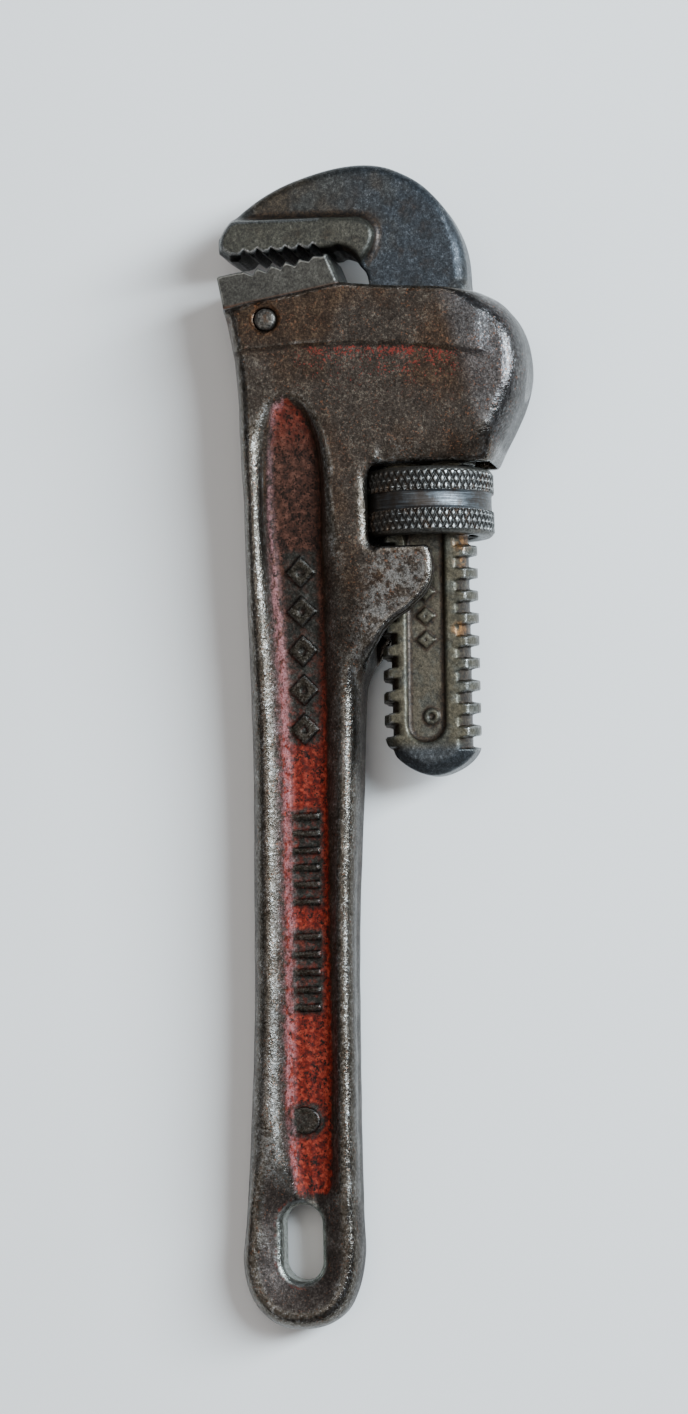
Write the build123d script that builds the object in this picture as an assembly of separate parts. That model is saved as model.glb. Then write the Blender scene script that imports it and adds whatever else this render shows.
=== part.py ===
"""Straight pipe wrench, nominal 8 inch (200 mm) size, jaws closed.

Row frame: +Y along the hook jaw's shank towards the hook, +X towards the open
side of the nut window, +Z square to the wrench's flat sides. The origin is in
the middle of the outline, on the plane the wrench lies on.

Everything is drawn in a working frame whose origin is the middle of the nut,
and is moved to the row frame at the end. All sizes are millimetres.
"""
import os
from math import atan2, cos, degrees, pi, radians, sin, sqrt, tan

from build123d import *

os.makedirs("parts", exist_ok=True)

# ---------------------------------------------------------------- sizes
# head of the housing
HEAD_Z = 8.5          # half thickness of the head
BAND_Z = 8.9          # half thickness of the raised band under the jaws
HANDLE_Z = 5.75       # half thickness of the handle's rims
END_Z = 4.7           # half thickness at the hang hole
WEB_Z = 2.0           # half thickness of the handle's web
RECESS_TAPER = 19.0   # draft of the handle recess, degrees
BACK_FILLET = 3.0     # rounding of the head's back
RIM_FILLET = 2.4      # rounding of the handle's rims

# adjusting nut and thread
PITCH = 3.30          # one right-hand start
CREST_R = 7.10        # shank thread, outside
ROOT_R = 5.85         # shank thread, bottom
CREST_W = 1.45        # width of a crest at the top
ROOT_W = 1.55         # width of a valley at the bottom
NUT_R = 9.75
NUT_HALF = 4.89
NUT_GROOVE_R = 9.40
NUT_GROOVE_Y = (-1.20, 1.35)
NUT_BORE_R = 7.32     # root of the nut's own thread
NUT_RIDGE_R = 6.10    # crest of the nut's own thread
THREAD_GAP = 0.16     # flank clearance
THREAD_PHASE = 1.35   # a valley's centre on the edge facing +X, above the nut's middle

# hook jaw
SHANK_Z = 4.15        # half thickness of the shank
WEB_HOOK_Z = 4.40     # half thickness of the hook and neck
BLOCK_Z = 6.00        # half thickness of the toothed block
SHANK_END_Y = -39.8
THREAD_TOP_Y = 9.0
TOOTH = 2.08          # jaw tooth spacing

# nut window, throat and lug
WIN_TOP = 5.40
WIN_BOT = -6.30
WIN_LEFT = -7.70
POCKET_R = 10.15
THROAT_L = -7.50
THROAT_R = 9.70
THROAT_Z = 4.75
LUG_SLOT_L = -8.80
LUG_SLOT_Z = 4.55

# heel jaw and pin
HEEL_Z = 6.20
TONGUE_Z = 2.6
FIT = 0.08            # fixed fit, each side
PIN_R = 1.5875        # 1/8 inch pin
PIN_AT = (-22.1, 27.4)

# springs behind the shank
LEAF_IN = 7.42
LEAF_T = 0.70
LEAF_Z = 3.6
COIL_Y = 18.2
COIL_R = 2.05         # wire centre line radius
WIRE_R = 0.40
COIL_FLOOR = 13.5
COIL_POCKET_R = 2.75

# hang hole
HOLE_AT = (-20.35, -107.35)
HOLE_R = 2.9
HOLE_LEN = 11.1

# row frame offset: middle of the outline, underside of the nut
OFFSET = (7.0, 34.7, NUT_R)


def spline_face(runs):
    """Closed face from runs of points: ('s', pts) smooth, ('l', pts) straight."""
    edges = []
    for kind, pts in runs:
        pts = [Vector(p[0], p[1], 0) for p in pts]
        if kind == "s":
            edges.append(Edge.make_spline(pts))
        else:
            for a, b in zip(pts, pts[1:]):
                edges.append(Edge.make_line(a, b))
    return Face(Wire(edges))


def prism(face, z0, z1):
    return extrude(Pos(0, 0, z0) * face, amount=z1 - z0, dir=(0, 0, 1))


def box(x0, x1, y0, y1, z0, z1):
    return Pos((x0 + x1) / 2, (y0 + y1) / 2, (z0 + z1) / 2) * Box(x1 - x0, y1 - y0, z1 - z0)


def y_cyl(r, y0, y1, x=0.0, z=0.0):
    """Cylinder along Y."""
    return Pos(x, (y0 + y1) / 2, z) * Rot(90, 0, 0) * Cylinder(r, y1 - y0)


def safe_fillet(solid, edges, radius):
    """Round edges together, or one by one where they can't be done together."""
    edges = list(edges)
    if not edges:
        return solid
    try:
        out = fillet(edges, radius)
        if out.is_valid and out.volume > 0:
            return out
    except Exception:
        pass
    print("fillet fell back", radius, len(edges))
    return solid


def polygon(pts):
    return Face(Wire.make_polygon([Vector(p[0], p[1], 0) for p in pts], close=True))


# ---------------------------------------------------------------- housing
SEAT_L = (-28.85, 29.50)
SEAT_R = (-10.85, 32.45)
seat_dir = (Vector(*SEAT_R, 0) - Vector(*SEAT_L, 0)).normalized()
seat_up = Vector(-seat_dir.Y, seat_dir.X, 0)

left_side = [SEAT_L, (-28.0, 25.2), (-27.3, 21.0), (-26.95, 15.0), (-26.75, 6.0), (-26.70, -4.0),
             (-26.70, -16.0), (-26.60, -28.0), (-26.60, -40.0), (-26.90, -57.0), (-27.15, -72.0),
             (-27.80, -86.0), (-28.85, -100.5), (-29.60, -107.8)]
end_curve = [(-29.60, -107.8), (-29.30, -113.4), (-27.10, -117.6), (-23.60, -119.7), (-20.60, -120.0),
             (-17.60, -119.5), (-14.80, -117.7), (-12.90, -114.2), (-11.90, -107.8)]
right_side = [(-11.90, -107.8), (-12.05, -100.8), (-12.15, -88.8), (-12.05, -78.0), (-11.90, -66.0),
              (-11.60, -57.6), (-11.10, -48.8), (-10.60, -40.3), (-10.20, -30.5), (-9.30, -24.5),
              (-7.40, -21.0), (-5.70, -18.4), (-4.20, -17.0), (-2.60, -16.0), (-1.00, -14.7),
              (0.50, -13.1), (1.40, -11.2), (1.55, -9.2), (1.30, -7.4), (0.90, WIN_BOT)]
back_curve = [(10.25, WIN_TOP), (10.60, 6.1), (12.0, 8.7), (13.45, 11.4), (15.20, 15.7), (15.80, 19.1),
              (15.50, 22.6), (14.15, 26.5), (11.30, 29.5), (7.40, 30.75), (-1.0, 31.45), (-7.3, 32.05), SEAT_R]

outline = spline_face([
    ("s", left_side),
    ("s", end_curve),
    ("s", right_side),
    ("l", [(0.90, WIN_BOT), (WIN_LEFT, WIN_BOT), (WIN_LEFT, WIN_TOP), (10.25, WIN_TOP)]),
    ("s", back_curve),
    ("l", [SEAT_R, SEAT_L]),
])
slab = prism(outline, -BAND_Z, BAND_Z)

# side profile: full head, falling to the handle's rims, thinner at the hang hole
STEP_Y = 22.6
top_profile = [(60, BAND_Z), (STEP_Y, BAND_Z), (STEP_Y - 0.5, HEAD_Z), (5.0, HEAD_Z), (-12.0, 7.55), (-26.0, 6.25),
               (-38.0, HANDLE_Z), (-92.0, HANDLE_Z), (-104.0, END_Z + 0.1), (-116.0, END_Z - 0.4), (-130.0, END_Z - 0.6)]
prof = [(y, z) for y, z in top_profile] + [(y, -z) for y, z in reversed(top_profile)]
prof_face = Face(Wire.make_polygon([Vector(-60, y, z) for y, z in prof], close=True))
profile = extrude(prof_face, amount=120, dir=(1, 0, 0))
body = slab & profile
body = body.solid() if hasattr(body, "solid") else body

# rounding of the long outer edges, front and back
def outer_edges(s, test):
    out = []
    for e in s.edges():
        m = e.position_at(0.5)
        if abs(e.tangent_at(0.5).Z) > 0.5:
            continue
        if test(m):
            out.append(e)
    return out

rim = outer_edges(body, lambda m: m.Y < 22 and (m.X < -22 or m.Y < -20) and abs(m.Z) > 3.5)
body = safe_fillet(body, rim, RIM_FILLET)
back = outer_edges(body, lambda m: m.X > 9.5 and 5.6 < m.Y < 31 and abs(m.Z) > 7)
body = safe_fillet(body, back, BACK_FILLET)

# handle recess, one on each face: drafted walls and a floor that runs out in the head
floor_pts = [(-19.1, 13.2), (-20.6, 11.2), (-21.5, 7.0), (-22.0, 0.0), (-21.9, -8.0), (-21.5, -17.0), (-21.2, -27.0),
             (-21.15, -42.0), (-21.25, -57.4), (-21.5, -75.0), (-21.7, -88.0), (-21.4, -95.0), (-20.9, -99.0), (-19.3, -101.2),
             (-17.4, -100.2), (-16.5, -96.5), (-16.3, -88.0), (-16.05, -70.0), (-16.0, -57.0), (-15.9, -43.0), (-15.75, -28.6),
             (-15.85, -16.0), (-16.05, -5.0), (-16.2, 3.0), (-16.7, 8.0), (-17.7, 11.3)]


def spread(points, gap):
    """Points of a counter-clockwise closed line, each moved outwards by gap."""
    n = len(points)
    out = []
    for i, (x, y) in enumerate(points):
        ax, ay = points[i - 1]
        bx, by = points[(i + 1) % n]
        tx, ty = bx - ax, by - ay
        m = sqrt(tx * tx + ty * ty)
        out.append((x + gap * ty / m, y - gap * tx / m))
    return out


def loop(points, z):
    return Wire([Edge.make_spline([Vector(x, y, z) for x, y in points], periodic=True)])


RUN = 8.0 * tan(radians(RECESS_TAPER))
raw = Solid.make_loft([loop(floor_pts, WEB_Z), loop(spread(floor_pts, RUN), WEB_Z + 8.0)], ruled=True)
above = [(30, 12), (30, 8.6), (15.5, 7.4), (8.0, 5.6), (-6.0, 3.7), (-24.0, WEB_Z + 0.35), (-40.0, WEB_Z), (-130.0, WEB_Z), (-130.0, 12)]
above_face = Face(Wire.make_polygon([Vector(-40, y, z) for y, z in above], close=True))
recess = raw & extrude(above_face, amount=60, dir=(1, 0, 0))
body = body - recess - mirror(recess, Plane.XY)

# hang hole: a thick rim slopes in to a thinner web around it
slot2d = SlotOverall(HOLE_LEN, 2 * HOLE_R, rotation=90)
body = body - Pos(HOLE_AT[0], HOLE_AT[1], -10) * extrude(slot2d, amount=20)
for s in (1, -1):
    lead = extrude(slot2d, amount=3.0, taper=-48)
    lead = Pos(HOLE_AT[0], HOLE_AT[1], 2.45) * lead
    if s < 0:
        lead = mirror(lead, Plane.XY)
    body = body - lead

# throat for the shank, nut pocket, fork slot in the lower lug
body = body - box(THROAT_L, THROAT_R, 0, 45, -THROAT_Z, THROAT_Z)
body = body - y_cyl(POCKET_R, WIN_BOT, WIN_TOP)
body = body - box(LUG_SLOT_L, 30, -60, 0, -LUG_SLOT_Z, LUG_SLOT_Z)

# pocket for the coil spring
body = body - Pos((COIL_FLOOR + 5) / 2, COIL_Y, 0) * Rot(0, 90, 0) * Cylinder(COIL_POCKET_R, COIL_FLOOR - 5)

# slot and pin hole for the heel jaw
def seat_point(along, up):
    p = Vector(*SEAT_L, 0) + seat_dir * along + seat_up * up
    return (p.X, p.Y)

tongue_pts = [seat_point(2.2, 1.0), seat_point(2.2, -6.6), seat_point(13.0, -6.6), seat_point(13.0, 1.0)]
def grow(pts, g):
    cx = sum(p[0] for p in pts) / 4
    cy = sum(p[1] for p in pts) / 4
    out = []
    for p, (da, du) in zip(pts, [(-g, 0), (-g, -g), (g, -g), (g, 0)]):
        v = Vector(p[0], p[1], 0) + seat_dir * da + seat_up * du
        out.append((v.X, v.Y))
    return out

body = body - prism(polygon(grow(tongue_pts, FIT)), -TONGUE_Z - FIT, TONGUE_Z + FIT)
body = body - Pos(PIN_AT[0], PIN_AT[1], 0) * Cylinder(PIN_R + 0.02, 30)

# window edge lead, so the nut's flutes can be reached by a thumb
handle_housing = max(body.solids(), key=lambda s: s.volume)

# plain raised pads in the recess, in place of any lettering
def pad(cx, cy, w, h, z0, z1, rot=0.0):
    return Pos(cx, cy, (z0 + z1) / 2) * Rot(0, 0, rot) * Box(w, h, z1 - z0)

pads = []
PAD_TOP = WEB_Z + 0.45
for i in range(5):
    pads.append(("lozenge", -18.6 - 0.05 * i, -9.4 - 5.75 * i))
for kind, cx, cy in pads:
    z_floor = WEB_Z
    for (y1, z1), (y2, z2) in zip(above[3:], above[4:]):
        if y2 <= cy <= y1:
            z_floor = z1 + (z2 - z1) * (cy - y1) / (y2 - y1)
    for s in (1, -1):
        lo, hi = z_floor - 0.6, z_floor + 0.45
        p = Pos(cx, cy, 0) * extrude(Pos(0, 0, lo) * Face(Wire.make_polygon([Vector(-2.2, 0, 0), Vector(0, -2.3, 0), Vector(2.2, 0, 0), Vector(0, 2.3, 0)], close=True)), amount=hi - lo, dir=(0, 0, 1))
        if s < 0:
            p = mirror(p, Plane.XY)
        handle_housing = handle_housing + p
bars = [-45.2 - 2.5 * i for i in range(6)] + [-62.8 - 2.6 * i for i in range(5)]
for cy in bars:
    for s in (1, -1):
        z = s * (WEB_Z + 0.0)
        handle_housing = handle_housing + pad(-18.6, cy, 3.5, 1.0, min(z - 0.4, z + 0.4), max(z - 0.4, z + 0.4))
for s in (1, -1):
    handle_housing = handle_housing + Pos(-19.4, -90.3, s * WEB_Z) * Cylinder(1.8, 0.8)
handle_housing = max(handle_housing.solids(), key=lambda s: s.volume)
handle_housing.label = "handle_housing"

# ---------------------------------------------------------------- hook jaw
hook_outer = [(CREST_R - 0.05, 29.0), (CREST_R - 0.02, 33.0), (6.85, 36.4), (6.30, 38.8), (5.30, 41.2), (4.00, 43.4), (2.20, 45.6),
              (0.40, 47.3), (-1.90, 48.75), (-4.30, 49.85), (-7.00, 50.45), (-10.0, 50.50), (-12.9, 50.15),
              (-15.7, 49.5), (-18.8, 48.55), (-20.9, 47.7), (-23.2, 46.5), (-25.2, 45.2), (-26.9, 43.85),
              (-28.2, 42.5), (-29.1, 41.2), (-29.6, 39.8), (-29.45, 38.3)]
throat_curve = [(-11.9, 38.1), (-10.4, 37.65), (-9.3, 36.8), (-8.45, 35.6), (-7.75, 34.4), (-7.35, 32.8), (-7.10, 31.0)]
# toothed edge of the hook, from the tip inwards
tooth_line0 = Vector(-26.4, 37.15, 0)
tooth_line1 = Vector(-12.6, 37.75, 0)
td = (tooth_line1 - tooth_line0).normalized()
tn = Vector(-td.Y, td.X, 0)          # into the jaw
HOOK_DEPTH = 1.15

def teeth(start, direction, normal, n, depth, lean):
    pts = []
    for i in range(n):
        a = start + direction * (i * TOOTH)
        pts.append(a)                                          # tip
        pts.append(a + direction * (TOOTH * lean) + normal * depth)   # valley
    pts.append(start + direction * (n * TOOTH))
    return [(p.X, p.Y) for p in pts]

hook_teeth = teeth(tooth_line0, td, tn, 6, HOOK_DEPTH, 0.35)
hook_face = spline_face([
    ("s", hook_outer),
    ("l", [hook_outer[-1], (-27.9, 37.2), hook_teeth[0]]),
    ("l", hook_teeth),
    ("l", [hook_teeth[-1], throat_curve[0]]),
    ("s", throat_curve),
    ("l", [throat_curve[-1], (-CREST_R, 29.0), (CREST_R - 0.05, 29.0)]),
])
hook_web = prism(hook_face, -WEB_HOOK_Z, WEB_HOOK_Z)
crown = outer_edges(hook_web, lambda m: (m.Y > 43 or m.X > 3) and m.Y > 30 and abs(m.Z) > 4)
hook_web = safe_fillet(hook_web, crown, 1.3)

# toothed block, thicker than the hook behind it
block_cut = spline_face([
    ("l", [(-31, 35), (-31, 43.1), (-27.5, 43.1), (-14.4, 42.9), (-9.6, 42.75)]),
    ("s", [(-9.6, 42.75), (-7.2, 42.1), (-6.0, 40.3), (-6.3, 38.0), (-7.9, 36.0)]),
    ("l", [(-7.9, 36.0), (-8.4, 35.0), (-31, 35)]),
])
block = prism(hook_face, -BLOCK_Z, BLOCK_Z) & prism(block_cut, -BLOCK_Z, BLOCK_Z)
hook = hook_web + block

# shank: a flat bar with a rounded, chamfered end
bar = y_cyl(CREST_R, SHANK_END_Y, 30.0) & box(-20, 20, SHANK_END_Y, 30.0, -SHANK_Z, SHANK_Z)
end_face = spline_face([
    ("l", [(-10, 31), (-10, -31.4)]),
    ("s", [(-10, -31.4), (-7.5, -33.4), (-6.3, -35.4), (-4.7, -37.4), (-2.6, -38.9), (0.3, SHANK_END_Y), (3.3, -39.1), (5.8, -37.4), (7.3, -35.4), (10, -32.6)]),
    ("l", [(10, -32.6), (10, 31), (-10, 31)]),
])
bar = bar & prism(end_face, -SHANK_Z, SHANK_Z)
bev = [(31, SHANK_Z), (-36.8, SHANK_Z), (SHANK_END_Y - 0.2, 2.3), (SHANK_END_Y - 0.2, -2.3), (-36.8, -SHANK_Z), (31, -SHANK_Z)]
bev_face = Face(Wire.make_polygon([Vector(-20, y, z) for y, z in bev], close=True))
bar = bar & extrude(bev_face, amount=40, dir=(1, 0, 0))

# thread valleys: on each narrow edge, rings tilted to the thread's lead angle
lead = degrees(atan2(PITCH, 2 * pi * (CREST_R + ROOT_R) / 2))
half_top = (PITCH - CREST_W) / 2
half_bot = ROOT_W / 2
slope = (half_top - half_bot) / (CREST_R - ROOT_R)
R_OUT = CREST_R + 1.5
ring_pts = [(ROOT_R, -half_bot), (R_OUT, -half_bot - slope * (R_OUT - ROOT_R)), (R_OUT, half_bot + slope * (R_OUT - ROOT_R)), (ROOT_R, half_bot)]
ring_face = Face(Wire.make_polygon([Vector(x, y, 0) for x, y in ring_pts], close=True))
ring = revolve(ring_face, Axis.Y, 360)
half_space_r = box(0, 12, -60, 40, -8, 8)
cuts = []
n_hi = int((THREAD_TOP_Y) / PITCH) + 1
for k in range(-12, n_hi + 1):
    yr = k * PITCH + THREAD_PHASE               # valley centre on the +X edge
    yl = yr + 0.5 * PITCH                        # and half a turn on, on the -X edge
    # the edge facing +X is met first, so the thread there rises towards -Z
    if SHANK_END_Y + 3.2 < yr < THREAD_TOP_Y:
        cuts.append((Pos(0, yr, 0) * Rot(lead, 0, 0) * ring) & half_space_r)
    if SHANK_END_Y + 3.2 < yl < THREAD_TOP_Y:
        cuts.append((Pos(0, yl, 0) * Rot(-lead, 0, 0) * ring) & mirror(half_space_r, Plane.YZ))
for c in cuts:
    bar = bar - c

# shallow panel down each face of the shank
panel = SlotOverall(40.0, 5.6, rotation=90)
for s in (1, -1):
    p = Pos(-0.15, -14.8, 0) * extrude(panel, amount=4, taper=0)
    p = Pos(0, 0, SHANK_Z - 0.8) * p
    if s < 0:
        p = mirror(p, Plane.XY)
    bar = bar - p
hook_jaw = hook + bar
hook_jaw = max(hook_jaw.solids(), key=lambda s: s.volume)
hook_jaw.label = "hook_jaw"

# ---------------------------------------------------------------- heel jaw
heel_len = 17.6
HEEL_H = 5.12
base = FIT * 0.6
h0 = Vector(*seat_point(0.0, base), 0)
heel_tips = []
start = Vector(*seat_point(4.6, HEEL_H), 0)
heel_teeth = [(p.X, p.Y) for p in []]
pts = [seat_point(0.0, base), seat_point(-0.15, HEEL_H - 0.1), seat_point(3.2, HEEL_H + 0.08)]
n_heel = 6
for i in range(n_heel):
    a = 3.9 + i * TOOTH
    pts.append(seat_point(a, HEEL_H - 0.85))
    pts.append(seat_point(a + TOOTH * 0.62, HEEL_H + 0.05))
pts.append(seat_point(16.75, HEEL_H - 0.1))
pts.append(seat_point(17.9, base))
heel_block = prism(polygon(pts), -HEEL_Z, HEEL_Z)
tongue = prism(polygon(tongue_pts), -TONGUE_Z, TONGUE_Z)
heel_jaw = heel_block + tongue
heel_jaw = heel_jaw - Pos(PIN_AT[0], PIN_AT[1], 0) * Cylinder(PIN_R + 0.02, 30)
heel_jaw = max(heel_jaw.solids(), key=lambda s: s.volume)
heel_jaw.label = "heel_jaw"

# ---------------------------------------------------------------- heel jaw pin
pin = Cylinder(PIN_R, 2 * (BAND_Z + 0.30))
pin = safe_fillet(pin, pin.edges().filter_by(GeomType.CIRCLE), 0.28)
heel_jaw_pin = Pos(PIN_AT[0], PIN_AT[1], 0) * pin
heel_jaw_pin = heel_jaw_pin.solid() if hasattr(heel_jaw_pin, "solid") else heel_jaw_pin
heel_jaw_pin.label = "heel_jaw_pin"

# ---------------------------------------------------------------- adjusting nut
g0, g1 = NUT_GROOVE_Y
nut_section = [(NUT_BORE_R, -NUT_HALF), (NUT_R - 0.7, -NUT_HALF), (NUT_R - 0.12, -NUT_HALF + 0.45), (NUT_R, -NUT_HALF + 0.6),
               (NUT_R, g0 - 0.2), (NUT_GROOVE_R, g0), (NUT_GROOVE_R, g1), (NUT_R, g1 + 0.2),
               (NUT_R, NUT_HALF - 0.6), (NUT_R - 0.12, NUT_HALF - 0.45), (NUT_R - 0.7, NUT_HALF), (NUT_BORE_R, NUT_HALF)]
nut_face = Face(Wire.make_polygon([Vector(x, y, 0) for x, y in nut_section], close=True))
nut = revolve(nut_face, Axis.Y, 360)

# internal thread: one ridge, swept along a right-hand helix and trimmed to the nut
ridge_half_tip = half_bot - THREAD_GAP + slope * (NUT_RIDGE_R - ROOT_R)
ridge_half_root = ridge_half_tip + slope * (NUT_BORE_R + 0.25 - NUT_RIDGE_R)
turns = 2.3
h_total = PITCH * turns
helix = Helix(pitch=PITCH, height=h_total, radius=NUT_BORE_R)
# the helix starts at (r, 0, 0) and climbs along +Z: section drawn there, in the XZ plane
sec = Wire.make_polygon([
    Vector(NUT_RIDGE_R, 0, -ridge_half_tip), Vector(NUT_BORE_R + 0.25, 0, -ridge_half_root),
    Vector(NUT_BORE_R + 0.25, 0, ridge_half_root), Vector(NUT_RIDGE_R, 0, ridge_half_tip)], close=True)
ridge = Solid.sweep(Face(sec), path=helix, is_frenet=True)
# turned so that it lies in the shank's valleys, then laid along +Y
ridge_y0 = -h_total / 2
ridge = Rot(-90, 0, 0) * Pos(0, 0, ridge_y0) * Rot(0, 0, 360 * (ridge_y0 - THREAD_PHASE) / PITCH) * ridge
adjusting_nut = nut + ridge
adjusting_nut = max(adjusting_nut.solids(), key=lambda s: s.volume)
adjusting_nut.label = "adjusting_nut"

# ---------------------------------------------------------------- springs
leaf_mid = [(8.45, 7.4), (7.95, 9.2), (7.75, 12.0), (7.72, 18.2), (7.75, 24.0), (7.95, 27.0), (8.40, 28.8)]
inner = [(x - LEAF_T / 2 + 0.05, y) for x, y in leaf_mid]
outer = [(x + LEAF_T / 2 + 0.05, y) for x, y in reversed(leaf_mid)]
leaf_face = spline_face([("s", inner), ("l", [inner[-1], outer[0]]), ("s", outer), ("l", [outer[-1], inner[0]])])
leaf = prism(leaf_face, -LEAF_Z, LEAF_Z)
leaf = leaf - Pos(8, COIL_Y, 0) * Rot(0, 90, 0) * Cylinder(0.80, 4)
flat_spring = leaf.solid()
flat_spring.label = "flat_spring"

leaf_back = 7.72 + LEAF_T / 2 + 0.05
rivet = (Pos((leaf_back + 0.35 + 7.45) / 2, COIL_Y, 0) * Rot(0, 90, 0) * Cylinder(0.75, leaf_back + 0.35 - 7.45)
         + Pos(leaf_back + 0.03 + 0.4, COIL_Y, 0) * Rot(0, 90, 0) * Cylinder(1.45, 0.8))
spring_rivet = rivet.solid()
spring_rivet.label = "spring_rivet"

coil_len = COIL_FLOOR - leaf_back - 2 * WIRE_R - 0.10
coil_pitch = coil_len / 4.25
coil_path = Helix(pitch=coil_pitch, height=coil_len, radius=COIL_R)
wire_face = Face(Wire.make_circle(WIRE_R, Plane(origin=(COIL_R, 0, 0), z_dir=(0, 1, coil_pitch / (2 * pi * COIL_R)))))
coil = Solid.sweep(wire_face, path=coil_path, is_frenet=True)
coil_spring = Pos(leaf_back + WIRE_R + 0.05, COIL_Y, 0) * Rot(0, 90, 0) * coil
coil_spring.label = "coil_spring"

# ---------------------------------------------------------------- write out
NODES = {
    "handle_housing": handle_housing,
    "hook_jaw": hook_jaw,
    "heel_jaw": heel_jaw,
    "heel_jaw_pin": heel_jaw_pin,
    "adjusting_nut": adjusting_nut,
    "flat_spring": flat_spring,
    "coil_spring": coil_spring,
    "spring_rivet": spring_rivet,
}
for name, shape in NODES.items():
    solid = Pos(*OFFSET) * shape
    bb = solid.bounding_box()
    print(f"{name:16s} vol {solid.volume:9.1f}  valid {solid.is_valid}  "
          f"x {bb.min.X:7.2f} {bb.max.X:7.2f}  y {bb.min.Y:7.2f} {bb.max.Y:7.2f}  z {bb.min.Z:6.2f} {bb.max.Z:6.2f}")
    export_step(solid, f"parts/{name}.step")
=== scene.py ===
"""Looks of the pipe wrench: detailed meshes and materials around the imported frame.

Shapes are drawn in millimetres in a working frame whose origin is the middle of
the adjusting nut, and are moved to the row frame when they become meshes.
"""

from math import cos, pi, radians, sin, tan, sqrt, atan2

import bpy
import numpy as np
from mathutils import Matrix, Vector


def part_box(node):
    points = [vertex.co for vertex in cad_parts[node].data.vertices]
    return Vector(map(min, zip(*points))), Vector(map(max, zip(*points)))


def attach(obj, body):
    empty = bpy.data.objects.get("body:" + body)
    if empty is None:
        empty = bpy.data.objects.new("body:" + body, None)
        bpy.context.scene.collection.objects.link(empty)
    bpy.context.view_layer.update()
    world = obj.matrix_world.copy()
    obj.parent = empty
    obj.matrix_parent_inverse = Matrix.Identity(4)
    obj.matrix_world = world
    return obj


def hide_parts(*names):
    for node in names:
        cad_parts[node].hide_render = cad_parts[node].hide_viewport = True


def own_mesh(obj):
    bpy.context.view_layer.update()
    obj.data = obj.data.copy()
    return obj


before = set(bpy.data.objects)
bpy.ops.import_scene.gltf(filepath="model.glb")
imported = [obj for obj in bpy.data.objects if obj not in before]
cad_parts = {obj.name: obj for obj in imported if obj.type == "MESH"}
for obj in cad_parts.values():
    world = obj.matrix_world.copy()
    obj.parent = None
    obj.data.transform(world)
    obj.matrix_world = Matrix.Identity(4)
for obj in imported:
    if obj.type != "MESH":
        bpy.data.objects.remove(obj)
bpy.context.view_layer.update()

lo_nut, hi_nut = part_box("adjusting_nut")
OFF = np.array([(lo_nut[i] + hi_nut[i]) / 2 for i in range(3)]) * 1000.0     # middle of the nut, in the row frame

F = np.float32

# ------------------------------------------------------------------ curves


def cubic(pts, closed=False, per=14):
    """Points on a smooth cubic spline through pts, chord-length spaced."""
    p = np.asarray(pts, float)
    if closed:
        p = np.vstack([p, p[:1]])
    n = len(p)
    t = np.concatenate([[0], np.cumsum(np.linalg.norm(np.diff(p, axis=0), axis=1))])
    h = np.diff(t)
    if closed:
        m = n - 1
        A = np.zeros((m, m))
        B = np.zeros((m, p.shape[1]))
        for i in range(m):
            hm, hp = h[i - 1], h[i]
            A[i, i - 1] += hm
            A[i, i] += 2 * (hm + hp)
            A[i, (i + 1) % m] += hp
            B[i] = 6 * ((p[i + 1] - p[i]) / hp - (p[i] - p[i - 1 if i else m - 1]) / hm)
        M = np.linalg.solve(A, B)
        M = np.vstack([M, M[:1]])
    else:
        A = np.zeros((n, n))
        B = np.zeros((n, p.shape[1]))
        A[0, 0] = A[-1, -1] = 1
        if n > 3:
            A[0, 1] = -1
            A[-1, -2] = -1
        for i in range(1, n - 1):
            A[i, i - 1] = h[i - 1]
            A[i, i] = 2 * (h[i - 1] + h[i])
            A[i, i + 1] = h[i]
            B[i] = 6 * ((p[i + 1] - p[i]) / h[i] - (p[i] - p[i - 1]) / h[i - 1])
        M = np.linalg.solve(A, B)
    out = []
    for i in range(n - 1):
        u = np.linspace(0, 1, per, endpoint=False)[:, None]
        a, b = p[i], p[i + 1]
        hh = h[i]
        out.append((1 - u) * a + u * b + hh * hh / 6 * (((1 - u) ** 3 - (1 - u)) * M[i] + (u ** 3 - u) * M[i + 1]))
    if not closed:
        out.append(p[-1:])
    return np.vstack(out)


def runs(parts, per=10):
    """Closed line from ('s', pts) smooth runs and ('l', pts) straight runs."""
    out = []
    for kind, pts in parts:
        q = cubic(pts, per=per) if kind == "s" else np.asarray(pts, float)
        out.append(q[:-1])
    return np.vstack(out)


def dist2(line, X, Y, closed=True):
    """Signed distance in the plane to a closed line, negative inside. Plain distance when open."""
    line = np.asarray(line, float)
    a = line
    b = np.roll(line, -1, axis=0)
    if not closed:
        a, b = line[:-1], line[1:]
    x = X.ravel()
    y = Y.ravel()
    best = np.full(x.shape, 1e9)
    inside = np.zeros(x.shape, bool)
    for (ax, ay), (bx, by) in zip(a, b):
        ex, ey = bx - ax, by - ay
        l2 = ex * ex + ey * ey
        if l2 < 1e-14:
            continue
        t = np.clip(((x - ax) * ex + (y - ay) * ey) / l2, 0, 1)
        dx = x - (ax + t * ex)
        dy = y - (ay + t * ey)
        np.minimum(best, dx * dx + dy * dy, out=best)
        if closed and ay != by:
            c = (ay > y) != (by > y)
            inside ^= c & (x < (bx - ax) * (y - ay) / (by - ay) + ax)
    d = np.sqrt(best)
    if closed:
        d = np.where(inside, -d, d)
    return d.reshape(X.shape).astype(F)


# ------------------------------------------------------------------ solids as distance fields


def smin(a, b, k):
    h = np.clip(0.5 + 0.5 * (b - a) / k, 0, 1)
    return b + (a - b) * h - k * h * (1 - h)


def smax(a, b, k):
    return -smin(-a, -b, k)


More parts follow.
